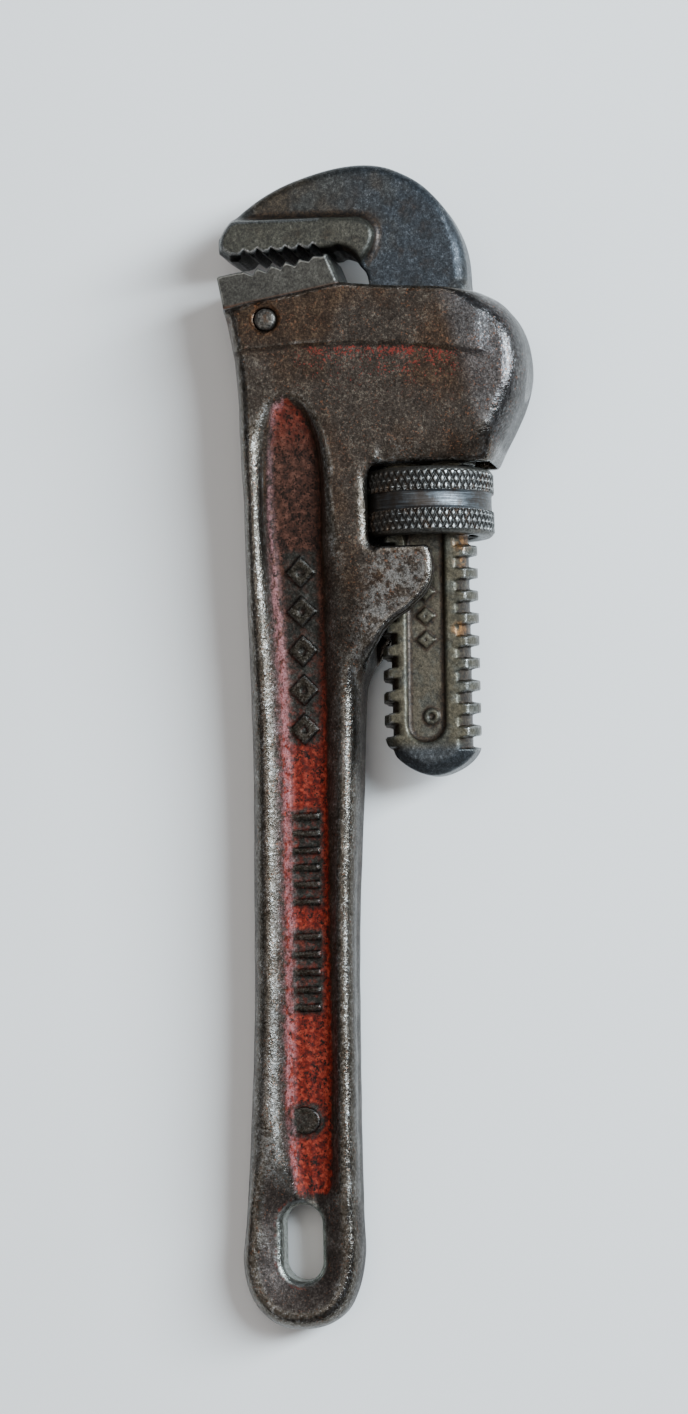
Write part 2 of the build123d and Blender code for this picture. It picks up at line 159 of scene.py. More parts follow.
def edge_round(q1, q2, r):
    """Meeting of two faces at distance q1 and q2, the corner rounded by r."""
    a = q1 + r
    b = q2 + r
    return np.minimum(np.maximum(a, b), 0) + np.hypot(np.maximum(a, 0), np.maximum(b, 0)) - r


def step(e0, e1, x):
    t = np.clip((x - e0) / (e1 - e0), 0, 1)
    return t * t * (3 - 2 * t)


def lerp_table(table, y):
    """Smoothly interpolated table of (y, value)."""
    t = sorted(table)
    ys = np.array([p[0] for p in t], float)
    vs = np.array([p[1] for p in t], float)
    return np.interp(y, ys, vs)


class Grid:
    def __init__(self, lo, hi, h):
        self.lo = np.array(lo, float)
        self.h = h
        n = np.ceil((np.array(hi, float) - self.lo) / h).astype(int) + 1
        self.n = n
        self.x = (self.lo[0] + h * np.arange(n[0])).astype(F)
        self.y = (self.lo[1] + h * np.arange(n[1])).astype(F)
        self.z = (self.lo[2] + h * np.arange(n[2])).astype(F)
        self.X2, self.Y2 = np.meshgrid(self.x, self.y, indexing="ij")
        self.X = self.X2[:, :, None]
        self.Y = self.Y2[:, :, None]
        self.Z = self.z[None, None, :]

    def sample(self, field, P):
        """Trilinear value of a field at points P (n, 3)."""
        q = (P - self.lo) / self.h
        q = np.clip(q, 0, self.n - 1.001)
        i = q.astype(int)
        f = (q - i).astype(F)
        i0, j0, k0 = i.T
        out = 0
        for dx in (0, 1):
            wx = f[:, 0] if dx else 1 - f[:, 0]
            for dy in (0, 1):
                wy = f[:, 1] if dy else 1 - f[:, 1]
                for dz in (0, 1):
                    wz = f[:, 2] if dz else 1 - f[:, 2]
                    out = out + wx * wy * wz * field[i0 + dx, j0 + dy, k0 + dz]
        return out


def surface(g, f, snap=2):
    """Closed quad mesh of the zero level of f on grid g."""
    f = np.ascontiguousarray(f, dtype=F)
    f[f == 0] = 1e-6
    nx, ny, nz = f.shape
    s = f < 0
    acc = np.zeros((nx - 1, ny - 1, nz - 1, 3), F)
    cnt = np.zeros((nx - 1, ny - 1, nz - 1), F)
    # crossings on edges along each axis feed the four cells around the edge
    for axis in range(3):
        sl0 = [slice(None)] * 3
        sl1 = [slice(None)] * 3
        sl0[axis] = slice(0, -1)
        sl1[axis] = slice(1, None)
        a = f[tuple(sl0)]
        b = f[tuple(sl1)]
        cross = s[tuple(sl0)] != s[tuple(sl1)]
        idx = np.nonzero(cross)
        t = a[idx] / (a[idx] - b[idx])
        pos = np.stack([idx[0], idx[1], idx[2]], 1).astype(F)
        pos[:, axis] += t
        o1, o2 = [k for k in range(3) if k != axis]
        for d1 in (0, -1):
            for d2 in (0, -1):
                c = [idx[0].copy(), idx[1].copy(), idx[2].copy()]
                c[o1] = c[o1] + d1
                c[o2] = c[o2] + d2
                ok = (c[o1] >= 0) & (c[o2] >= 0) & (c[o1] < acc.shape[o1]) & (c[o2] < acc.shape[o2])
                flat = np.ravel_multi_index((c[0][ok], c[1][ok], c[2][ok]), cnt.shape)
                np.add.at(cnt.reshape(-1), flat, 1)
                for q in range(3):
                    np.add.at(acc.reshape(-1, 3)[:, q], flat, pos[ok, q])
    used = cnt > 0
    ids = np.full(cnt.shape, -1, np.int64)
    ids[used] = np.arange(used.sum())
    verts = acc[used] / cnt[used][:, None]
    quads = []
    for axis in range(3):
        sl0 = [slice(None)] * 3
        sl1 = [slice(None)] * 3
        sl0[axis] = slice(0, -1)
        sl1[axis] = slice(1, None)
        s0 = s[tuple(sl0)]
        s1 = s[tuple(sl1)]
        cross = s0 != s1
        idx = np.nonzero(cross)
        o1, o2 = [(1, 2), (2, 0), (0, 1)][axis]
        ring = []
        good = np.ones(len(idx[0]), bool)
        for d1, d2 in ((-1, -1), (0, -1), (0, 0), (-1, 0)):
            c = [idx[0].copy(), idx[1].copy(), idx[2].copy()]
            c[o1] = c[o1] + d1
            c[o2] = c[o2] + d2
            good &= (c[o1] >= 0) & (c[o2] >= 0) & (c[o1] < ids.shape[o1]) & (c[o2] < ids.shape[o2])
            ring.append(c)
        q = np.stack([ids[c[0][good], c[1][good], c[2][good]] for c in ring], 1)
        flip = ~s0[idx][good]
        q[flip] = q[flip][:, ::-1]
        quads.append(q)
    quads = np.vstack(quads)
    P = g.lo + verts.astype(float) * g.h
    if snap:
        grad = None
        e = g.h * 0.5
        for _ in range(snap):
            v = g.sample(f, P)
            gr = np.stack([g.sample(f, P + np.eye(3)[k] * e) - g.sample(f, P - np.eye(3)[k] * e) for k in range(3)], 1) / (2 * e)
            m = np.maximum((gr * gr).sum(1), 0.05)
            stepv = -(v / m)[:, None] * gr
            ln = np.linalg.norm(stepv, axis=1)
            lim = np.minimum(1.0, 0.4 * g.h / np.maximum(ln, 1e-9))
            P = P + stepv * lim[:, None]
    return P, quads


def make_object(name, P, quads, attrs=None, smooth=True):
    """Mesh object from working-frame millimetres, moved to the row frame in metres."""
    V = (np.asarray(P, float) + OFF) / 1000.0
    me = bpy.data.meshes.new(name)
    quads = np.asarray(quads)
    n = len(quads)
    k = quads.shape[1]
    me.vertices.add(len(V))
    me.vertices.foreach_set("co", V.astype(F).ravel())
    me.loops.add(n * k)
    me.loops.foreach_set("vertex_index", quads.astype(np.int32).ravel())
    me.polygons.add(n)
    me.polygons.foreach_set("loop_start", np.arange(0, n * k, k, dtype=np.int32))
    me.update(calc_edges=True)
    me.validate()
    if smooth:
        me.polygons.foreach_set("use_smooth", np.ones(len(me.polygons), bool))
    for key, val in (attrs or {}).items():
        at = me.attributes.new(key, "FLOAT", "POINT")
        at.data.foreach_set("value", np.asarray(val, F).ravel())
    me.update()
    ob = bpy.data.objects.new(name, me)
    bpy.context.scene.collection.objects.link(ob)
    return ob


def value_noise(P, scale, seed):
    """Smooth noise in -1..1 at points P (n, 3), one lattice of random values."""
    rng = np.random.RandomState(seed)
    N = 64
    lat = rng.uniform(-1, 1, (N, N, N)).astype(F)
    q = np.asarray(P, float) / scale + 1000.37
    i = np.floor(q).astype(int)
    f = q - i
    f = f * f * (3 - 2 * f)
    out = np.zeros(len(q))
    for dx in (0, 1):
        wx = f[:, 0] if dx else 1 - f[:, 0]
        for dy in (0, 1):
            wy = f[:, 1] if dy else 1 - f[:, 1]
            for dz in (0, 1):
                wz = f[:, 2] if dz else 1 - f[:, 2]
                out += wx * wy * wz * lat[(i[:, 0] + dx) % N, (i[:, 1] + dy) % N, (i[:, 2] + dz) % N]
    return out


def bend(g, f, P, e):
    """How convex (+) or hollow (-) the surface is around P, over a reach of e."""
    c = g.sample(f, P)
    lap = sum(g.sample(f, P + np.eye(3)[k] * e) + g.sample(f, P - np.eye(3)[k] * e) - 2 * c for k in range(3))
    return lap / (e * e)


# ------------------------------------------------------------------ sizes (mm, working frame)
HEAD_Z, BAND_Z, HANDLE_Z, END_Z, WEB_Z = 8.5, 8.9, 5.75, 4.7, 2.0
PITCH, CREST_R, ROOT_R, NUT_R, NUT_HALF = 3.30, 7.10, 5.85, 9.75, 4.89
PHASE = 1.35
SHANK_Z, HOOK_Z, BLOCK_Z = 4.15, 4.40, 6.0
WIN_TOP, WIN_BOT, WIN_LEFT, POCKET_R = 5.40, -6.30, -7.70, 10.15
SEAT_L, SEAT_R = (-28.85, 29.50), (-10.85, 32.45)
PIN_AT, PIN_R = (-22.1, 27.4), 1.5875
HOLE_AT, HOLE_R, HOLE_LEN = (-20.72, -107.35), 2.9, 11.1

left_side = [SEAT_L, (-28.0, 25.2), (-27.3, 21.0), (-26.95, 15.0), (-26.75, 6.0), (-26.70, -4.0),
             (-26.70, -16.0), (-26.60, -28.0), (-26.60, -40.0), (-26.90, -57.0), (-27.15, -72.0),
             (-27.80, -86.0), (-28.85, -100.5), (-29.60, -107.8)]
end_curve = [(-29.60, -107.8), (-29.30, -113.4), (-27.10, -117.6), (-23.60, -119.7), (-20.60, -120.0),
             (-17.60, -119.5), (-14.80, -117.7), (-12.90, -114.2), (-11.90, -107.8)]
right_side = [(-11.90, -107.8), (-12.05, -100.8), (-12.15, -88.8), (-12.05, -78.0), (-11.90, -66.0),
              (-11.60, -57.6), (-11.10, -48.8), (-10.60, -40.3), (-10.20, -30.5), (-9.30, -24.5),
              (-7.40, -21.0), (-5.70, -18.4), (-4.20, -17.0), (-2.60, -16.0), (-1.00, -14.7),
              (0.50, -13.1), (1.40, -11.2), (1.55, -9.2), (1.30, -7.4), (0.90, WIN_BOT)]
back_curve = [(10.25, WIN_TOP), (10.60, 6.1), (12.0, 8.7), (13.45, 11.4), (15.20, 15.7), (15.80, 19.1),
              (15.50, 22.6), (14.15, 26.5), (11.30, 29.5), (7.40, 30.75), (-1.0, 31.45), (-7.3, 32.05), SEAT_R]
floor_pts = [(-19.1, 13.2), (-20.6, 11.2), (-21.5, 7.0), (-22.0, 0.0), (-21.9, -8.0), (-21.5, -17.0), (-21.2, -27.0),
             (-21.15, -42.0), (-21.25, -57.4), (-21.5, -75.0), (-21.7, -88.0), (-21.4, -95.0), (-20.9, -99.0), (-19.3, -101.2),
             (-17.4, -100.2), (-16.5, -96.5), (-16.3, -88.0), (-16.05, -70.0), (-16.0, -57.0), (-15.9, -43.0), (-15.75, -28.6),
             (-15.85, -16.0), (-16.05, -5.0), (-16.2, 3.0), (-16.7, 8.0), (-17.7, 11.3)]
FLOOR_Z = [(60, 8.9), (30, 8.7), (15.5, 7.4), (8.0, 5.6), (-6.0, 3.7), (-24.0, 2.35), (-40.0, 2.0), (-140.0, 2.0)]
seat_dir = np.array([SEAT_R[0] - SEAT_L[0], SEAT_R[1] - SEAT_L[1]])
seat_dir = seat_dir / np.linalg.norm(seat_dir)
seat_up = np.array([-seat_dir[1], seat_dir[0]])


def seat_point(a, u):
    p = np.array(SEAT_L) + seat_dir * a + seat_up * u
    return (p[0], p[1])


def mark_x(y):
    """Middle line of the raised marks in the handle recess."""
    return np.interp(y, [-100, -93, -70, -52, -20, 0], [-20.1, -19.9, -19.2, -18.9, -18.6, -18.6])


# ------------------------------------------------------------------ housing


def build_housing():
    h = 0.3
    g = Grid((-30.9, -121.3, -9.6), (17.1, 34.0, 9.6), h)
    X, Y, Z = g.X, g.Y, g.Z
    X2, Y2 = g.X2, g.Y2
    A = np.abs(Z)
    full = runs([("s", left_side), ("s", end_curve), ("s", right_side), ("l", [(0.90, WIN_BOT), (10.25, WIN_TOP)]), ("s", back_curve), ("l", [SEAT_R, SEAT_L])])
    d = dist2(full, X2, Y2)
    # half thickness over the outline
    T = [(60, HEAD_Z), (8.0, HEAD_Z), (2.0, 8.35), (-6.0, 7.95), (-14.0, 7.35), (-22.0, 6.62), (-30.0, 6.08), (-38.0, HANDLE_Z), (-90.0, HANDLE_Z),
         (-97.0, 5.45), (-104.0, END_Z + 0.1), (-112.0, END_Z - 0.2), (-130.0, END_Z - 0.6)]
    hz = lerp_table(T, Y2)
    # the lug stays nearly as thick as the head
    lug = step(-11.5, -8.5, X2) * step(-26, -18, Y2) * (1 - step(5, 8, Y2))
    hz = hz + lug * np.clip(7.9 - hz, 0, 2) * 0.75
    band_y = np.interp(X2, [-30, -24, -16.5, -9.5, 0, 6.4, 16], [22.7, 23.1, 23.5, 23.4, 22.7, 21.8, 19.6])
    band = step(-0.3, 0.35, Y2 - band_y)
    hz = hz + 0.40 * band * step(-29.0, -25.5, X2) * (1 - step(8.5, 11.5, X2))
    # rounding of the outer edges
    r = np.full(X2.shape, 3.0)
    kz = np.full(X2.shape, 0.72)                    # the rounding is deeper in Z than in plan
    head_left = step(-23, -25, X2) * step(0, 8, Y2)
    r = r * (1 - head_left) + 2.2 * head_left
    top = step(27.5, 30.5, Y2)
    r = r * (1 - top) + (0.5 + 2.6 * step(3, 11, X2)) * top
    lugr = step(-10.5, -7.5, X2) * (1 - step(-4, 2, Y2)) * step(-27, -20, Y2)
    r = r * (1 - lugr) + 0.7 * lugr
    back = step(7, 12, X2) * step(0, 8, Y2)
    kz = kz * (1 - back) + 0.62 * back
    r = r + 0.5 * back
    kz = kz * (1 - top * (1 - step(3, 11, X2))) + 1.0 * top * (1 - step(3, 11, X2))
    kz = kz * (1 - lugr) + 1.0 * lugr
    endr = 1 - step(-112, -96, Y2)
    r = r * (1 - endr) + 2.6 * endr
    r3, k3, d3, h3 = [a[:, :, None].astype(F) for a in (r, kz, d, hz)]
    f = edge_round(d3, (A - h3) * k3, r3)
    # low waves of the casting
    wave = 0.025 * np.sin(0.55 * X + 0.23 * Y + 1.0) * np.sin(0.31 * Y - 0.6 * Z + 0.4) + 0.02 * np.sin(0.9 * Y + 0.7 * X) * np.sin(1.1 * X - 0.5)
    f = f + (0.06 + wave).astype(F)
    # bevel above the window, from the ridge down to the window's edge
    ridge_y = np.interp(X2, [-20, -9.5, 6.4, 11.4, 16], [7.6, 7.95, 8.65, 10.3, 13.0])[:, :, None]
    bev = (A - (HEAD_Z - (ridge_y - Y) * 0.50)) * 0.88
    bev = np.where(Y > 3.5, bev, -9)
    on = (step(-8.6, -5.0, X2))[:, :, None]
    f = smax(f, (bev - (1 - on) * 3).astype(F), 0.7)
    # recess
    al = radians(19.0)
    dfl = dist2(cubic(floor_pts, closed=True, per=8), X2, Y2)[:, :, None]
    zf = lerp_table(FLOOR_Z, Y2)[:, :, None].astype(F)
    wall = dfl * cos(al) - (A - WEB_Z) * sin(al)
    rec = smax(wall.astype(F), (zf - A), 1.1)
    # the handle's two rims are rolled round, the recess is crisper where it runs into the head
    low_part = 1 - step(-14, 2, Y2)
    kr = np.where(X2 > -18.8, 1.2 + 2.6 * low_part, 1.6 + 0.6 * low_part)[:, :, None].astype(F)
    f = smax(f, -rec, kr)
    # raised marks: five lozenges, two rows of plain ribs, one round pad
    marks = np.full(f.shape, 9.0, F)
    for i in range(5):
        cy = -9.4 - 5.75 * i
        cx = mark_x(cy)
        q = (np.abs(X2 - cx) / 2.6 + np.abs(Y2 - cy) / 2.65 - 1) * 1.7
        q = q[:, :, None].astype(F)
        lo = np.abs(q + 0.75) - 0.62                    # a raised outline with a sunk middle
        marks = np.minimum(marks, edge_round(np.maximum(lo, q), A - (zf + 0.42), 0.22))
    ribs = [-45.2 - 2.5 * i for i in range(6)] + [-62.8 - 2.6 * i for i in range(5)]
    for i, cy in enumerate(ribs):
        cx = mark_x(cy)
        w = 2.1
        q = np.maximum(np.abs(X2 - cx) - w, np.abs(Y2 - cy) - 0.6)[:, :, None].astype(F)
        marks = np.minimum(marks, edge_round(q, A - (zf + 0.36), 0.2))
    q = (np.hypot((X2 - mark_x(-90.3) + 0.2) * 0.88, Y2 + 89.6) - 2.1)[:, :, None].astype(F)
    marks = np.minimum(marks, edge_round(q, A - (zf + 0.42), 0.3))
    marks = np.maximum(marks, 1.0 - A)
    f = smin(f, marks, 0.22)
    # hang hole with a bevelled, rolled rim
    yy = np.maximum(np.abs(Y2 - HOLE_AT[1]) - (HOLE_LEN / 2 - HOLE_R), 0)
    dh = (np.hypot(X2 - HOLE_AT[0], yy) - HOLE_R)[:, :, None].astype(F)
    f = smax(f, ((A - (2.3 + 0.66 * np.maximum(dh, -1.0))) * 0.84).astype(F), 1.7)
    f = smax(f, -dh, 0.7)
    # throat
    def cut_box(f, x0, x1, y0, y1, zh, k):
        q = np.maximum(np.maximum(np.maximum(x0 - X, X - x1), np.maximum(y0 - Y, Y - y1)), A - zh)
        return smax(f, -q.astype(F), k)
    f = cut_box(f, -7.50, 9.70, 3.0, 60, 4.75, 0.45)
    # window with rounded inner corners, and the pocket the nut turns in
    qx = WIN_LEFT - X2
    r1, r2 = 2.4, 1.7
    rr = np.where(Y2 > 0, r1, r2)
    dy = np.where(Y2 > 0, Y2 - WIN_TOP - 0.15, WIN_BOT - Y2)
    a = qx + rr
    b = dy + rr
    win = (np.minimum(np.maximum(a, b), 0) + np.hypot(np.maximum(a, 0), np.maximum(b, 0)) - rr)[:, :, None].astype(F)
    kwin = (0.35 + 1.5 * (1 - step(-7.4, -5.6, X2)))[:, :, None].astype(F)
    f = smax(f, -win, kwin)
    pocket = np.maximum(np.hypot(X, Z) - POCKET_R, np.maximum(WIN_BOT - Y, Y - WIN_TOP))
    f = smax(f, -pocket.astype(F), 0.4)
    # fork slot in the lug
    f = cut_box(f, -8.80, 40, -60, 0, 4.55, 0.5)
    # spring pocket, heel jaw slot, pin hole
    f = smax(f, -np.maximum(np.maximum(np.hypot(Y - 18.2, Z) - 2.75, 5 - X), X - 13.5).astype(F), 0.2)
    u = (X2 - SEAT_L[0]) * seat_dir[0] + (Y2 - SEAT_L[1]) * seat_dir[1]
    v = (X2 - SEAT_L[0]) * seat_up[0] + (Y2 - SEAT_L[1]) * seat_up[1]
    sl = np.maximum(np.maximum(2.2 - 0.08 - u, u - 13.08), -6.68 - v)[:, :, None]
    f = smax(f, -np.maximum(sl, A - 2.68).astype(F), 0.2)
    f = smax(f, -(np.hypot(X - PIN_AT[0], Y - PIN_AT[1]) - 1.64).astype(F), 0.35)
    P, Q = surface(g, f)
    P = np.clip(P, [-29.74, -119.98, -8.89], [15.80, 32.44, 8.89])
    c1 = bend(g, f, P, 0.45)
    c2 = bend(g, f, P, 1.1)
    wear = np.clip(c1 * 0.28 + c2 * 0.55, -1, 2)
    az = np.abs(P[:, 2])
    gloss = np.clip(c1 * 0.2 + c2 * 0.6, 0, 1)
    onlug = step(-9.5, -7.0, P[:, 0]) * (P[:, 1] < -5.5)
    calm = np.ones(len(P))
    calm = np.where((P[:, 0] > -12.5) & (P[:, 0] < -6.5) & (P[:, 1] > -7) & (P[:, 1] < 9), 0.6, calm)
    calm = np.where(np.hypot(P[:, 0] - PIN_AT[0], P[:, 1] - PIN_AT[1]) < 3.2, 0.3, calm)
    wear = np.where(wear > 0, wear * calm, wear)
    wear = np.where(wear > 0, wear * (1 - 0.6 * onlug), wear)
    head = step(1.0, 5.0, P[:, 0] + 0.6 * P[:, 1]) * step(2.0, 5.0, P[:, 1])
    wear = np.where(wear > 0, wear * (1 - 0.45 * head), wear)
    seam = step(14.0, 17.0, P[:, 1])
    wear = np.where(wear > 0, wear * (1 - 0.35 * seam), wear)
    corner = np.clip(1 - np.hypot(P[:, 0] + 8.6, (P[:, 1] - 8.6) * 0.8) / 4.0, 0, 1)
    wear = np.where(wear > 0, wear * (1 - 0.9 * np.sqrt(corner)), wear)
    gloss = gloss * (1 - 0.9 * np.sqrt(corner))
    # the head's rounded back: glossier, and given a lighter bluish colour in the material as painted sheen
    back = step(10.0, 14.5, P[:, 0] + 0.25 * P[:, 1]) * step(3.0, 6.0, P[:, 1])
    # painted places: the recess, and a scatter under the band
    dflv = dist2(cubic(floor_pts, closed=True, per=8), P[:, 0][:, None], P[:, 1][:, None])[:, 0]
    az = np.abs(P[:, 2])
    zfv = lerp_table(FLOOR_Z, P[:, 1])
    wv = dflv * cos(al) - (az - WEB_Z) * sin(al)
    hzv = lerp_table(T, P[:, 1])
    rel = (hzv - az) / np.maximum(hzv - zfv, 0.8)
    far = step(-19.4, -18.0, P[:, 0])
    t0 = 0.16 * (1 - far) + 0.62 * far
    inrec = np.clip((rel - t0) / (0.5 - 0.2 * far), 0, 1) * (wv < 1.2) * (P[:, 1] < 17) * np.clip((P[:, 1] + 101.4) / 1.6, 0, 1)
    inrec = inrec * np.clip((P[:, 0] + 23.4 - np.maximum(-92.0 - P[:, 1], 0) * 0.19) / 1.0, 0, 1)
    inrec = np.where(P[:, 1] > 2, inrec * np.clip((P[:, 0] + 23.4 - np.maximum(P[:, 1] - 4, 0) * 0.13) / 0.8, 0, 1), inrec)
    floor = np.clip((0.5 - (az - zfv)) / 0.5, 0, 1) * inrec
    dhp = np.hypot(P[:, 0] - HOLE_AT[0], np.maximum(np.abs(P[:, 1] - HOLE_AT[1]) - (HOLE_LEN / 2 - HOLE_R), 0)) - HOLE_R
    bore = np.clip((0.8 - dhp) / 0.35, 0, 1)
    inrec = np.maximum(inrec, 0.55 * np.clip(1 - np.abs(dhp - 1.0) / 0.5, 0, 1) * (P[:, 0] < -20))
    by = np.interp(P[:, 0], [-30, -24, -16.5, -9.5, 0, 6.4, 16], [22.7, 23.1, 23.5, 23.4, 22.7, 21.8, 19.6])
    below = by - P[:, 1]
    sc = np.clip(below / 0.5, 0, 1) * np.exp(-np.maximum(below, 0) / 3.6) * step(-20.5, -15, P[:, 0]) * (1 - step(5.0, 8.2, P[:, 0])) * (az > 7)
    mx = mark_x(P[:, 1])
    acr = np.clip((2.9 - np.abs(P[:, 0] - mx)) / 0.8, 0, 1)
    patch = np.zeros(len(P))
    for y0, y1 in ((-34.6, -6.2), (-58.6, -44.0), (-74.2, -61.6)):
        patch = np.maximum(patch, np.clip((P[:, 1] - y0) / 0.8 + 0.5, 0, 1) * np.clip((y1 - P[:, 1]) / 0.8 + 0.5, 0, 1))
    patch = patch * acr * inrec
    patch = np.maximum(patch, inrec * np.clip((3.0 - np.hypot((P[:, 0] - mx + 0.2) * 0.88, P[:, 1] + 89.6)) / 0.5, 0, 1))
    vs = (P[:, 0] - SEAT_L[0]) * seat_up[0] + (P[:, 1] - SEAT_L[1]) * seat_up[1]
    rp = np.hypot(P[:, 0] - PIN_AT[0], P[:, 1] - PIN_AT[1])
    rust = np.maximum(np.clip(1 + vs / 0.8, 0, 1) * (P[:, 0] < -9.5), np.clip(1 - np.abs(rp - 1.9) / 0.6, 0, 1) * (az > 7))
    # the head's left side, tinted brown in the material as painted shade
    left = 1 - step(-27.6, -25.0, P[:, 0] + 0.1 * np.abs(P[:, 1] - 12))
    left = left * step(-4, 6, P[:, 1])
    markh = np.clip((az - zfv - 0.12) / 0.2, 0, 1) * (wv < -0.3) * (az < zfv + 0.8)
    # side: the narrow outer sides, darkened in the material as painted shade
    side = np.clip((0.74 - az / np.maximum(hzv, 1.0)) / 0.3, 0, 1) * (wv > 0.6) * (1 - bore)
    # the left wall of the recess: half-rubbed paint, lightened in the material as a painted highlight
    smear_and_sheen = np.clip(inrec - floor, 0, 1) * (1 - markh) * (1 - patch * 0.6) * (P[:, 0] < mx - 1.2) * (dhp > 2.0)
    ob = make_object("housing_casting", P, Q, {"wear": wear, "gloss": gloss, "side": side, "back": back, "smear_and_sheen": smear_and_sheen, "recess": inrec, "floor": floor, "speck": sc, "mark": markh, "patch": patch, "rust": rust, "left": left, "bore": bore, "lug": step(-9.0, -5.0, P[:, 0] - 0.25 * (P[:, 1] + 6)) * (P[:, 1] < -5.5) * (az > 5)})
    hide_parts("handle_housing")
    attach(ob, "housing")
    return ob


# ------------------------------------------------------------------ hook jaw
hook_outer = [(CREST_R - 0.05, 29.0), (CREST_R - 0.02, 33.0), (6.85, 36.4), (6.30, 38.8), (5.30, 41.2), (4.00, 43.4), (2.20, 45.6),
              (0.40, 47.3), (-1.90, 48.75), (-4.30, 49.85), (-7.00, 50.45), (-10.0, 50.50), (-12.9, 50.15),
              (-15.7, 49.5), (-18.8, 48.55), (-20.9, 47.7), (-23.2, 46.5), (-25.2, 45.2), (-26.9, 43.85),
              (-28.2, 42.5), (-29.1, 41.2), (-29.6, 39.8), (-29.45, 38.3)]
throat_curve = [(-11.9, 38.1), (-10.4, 37.65), (-9.3, 36.8), (-8.45, 35.6), (-7.75, 34.4), (-7.35, 32.8), (-7.10, 31.0)]


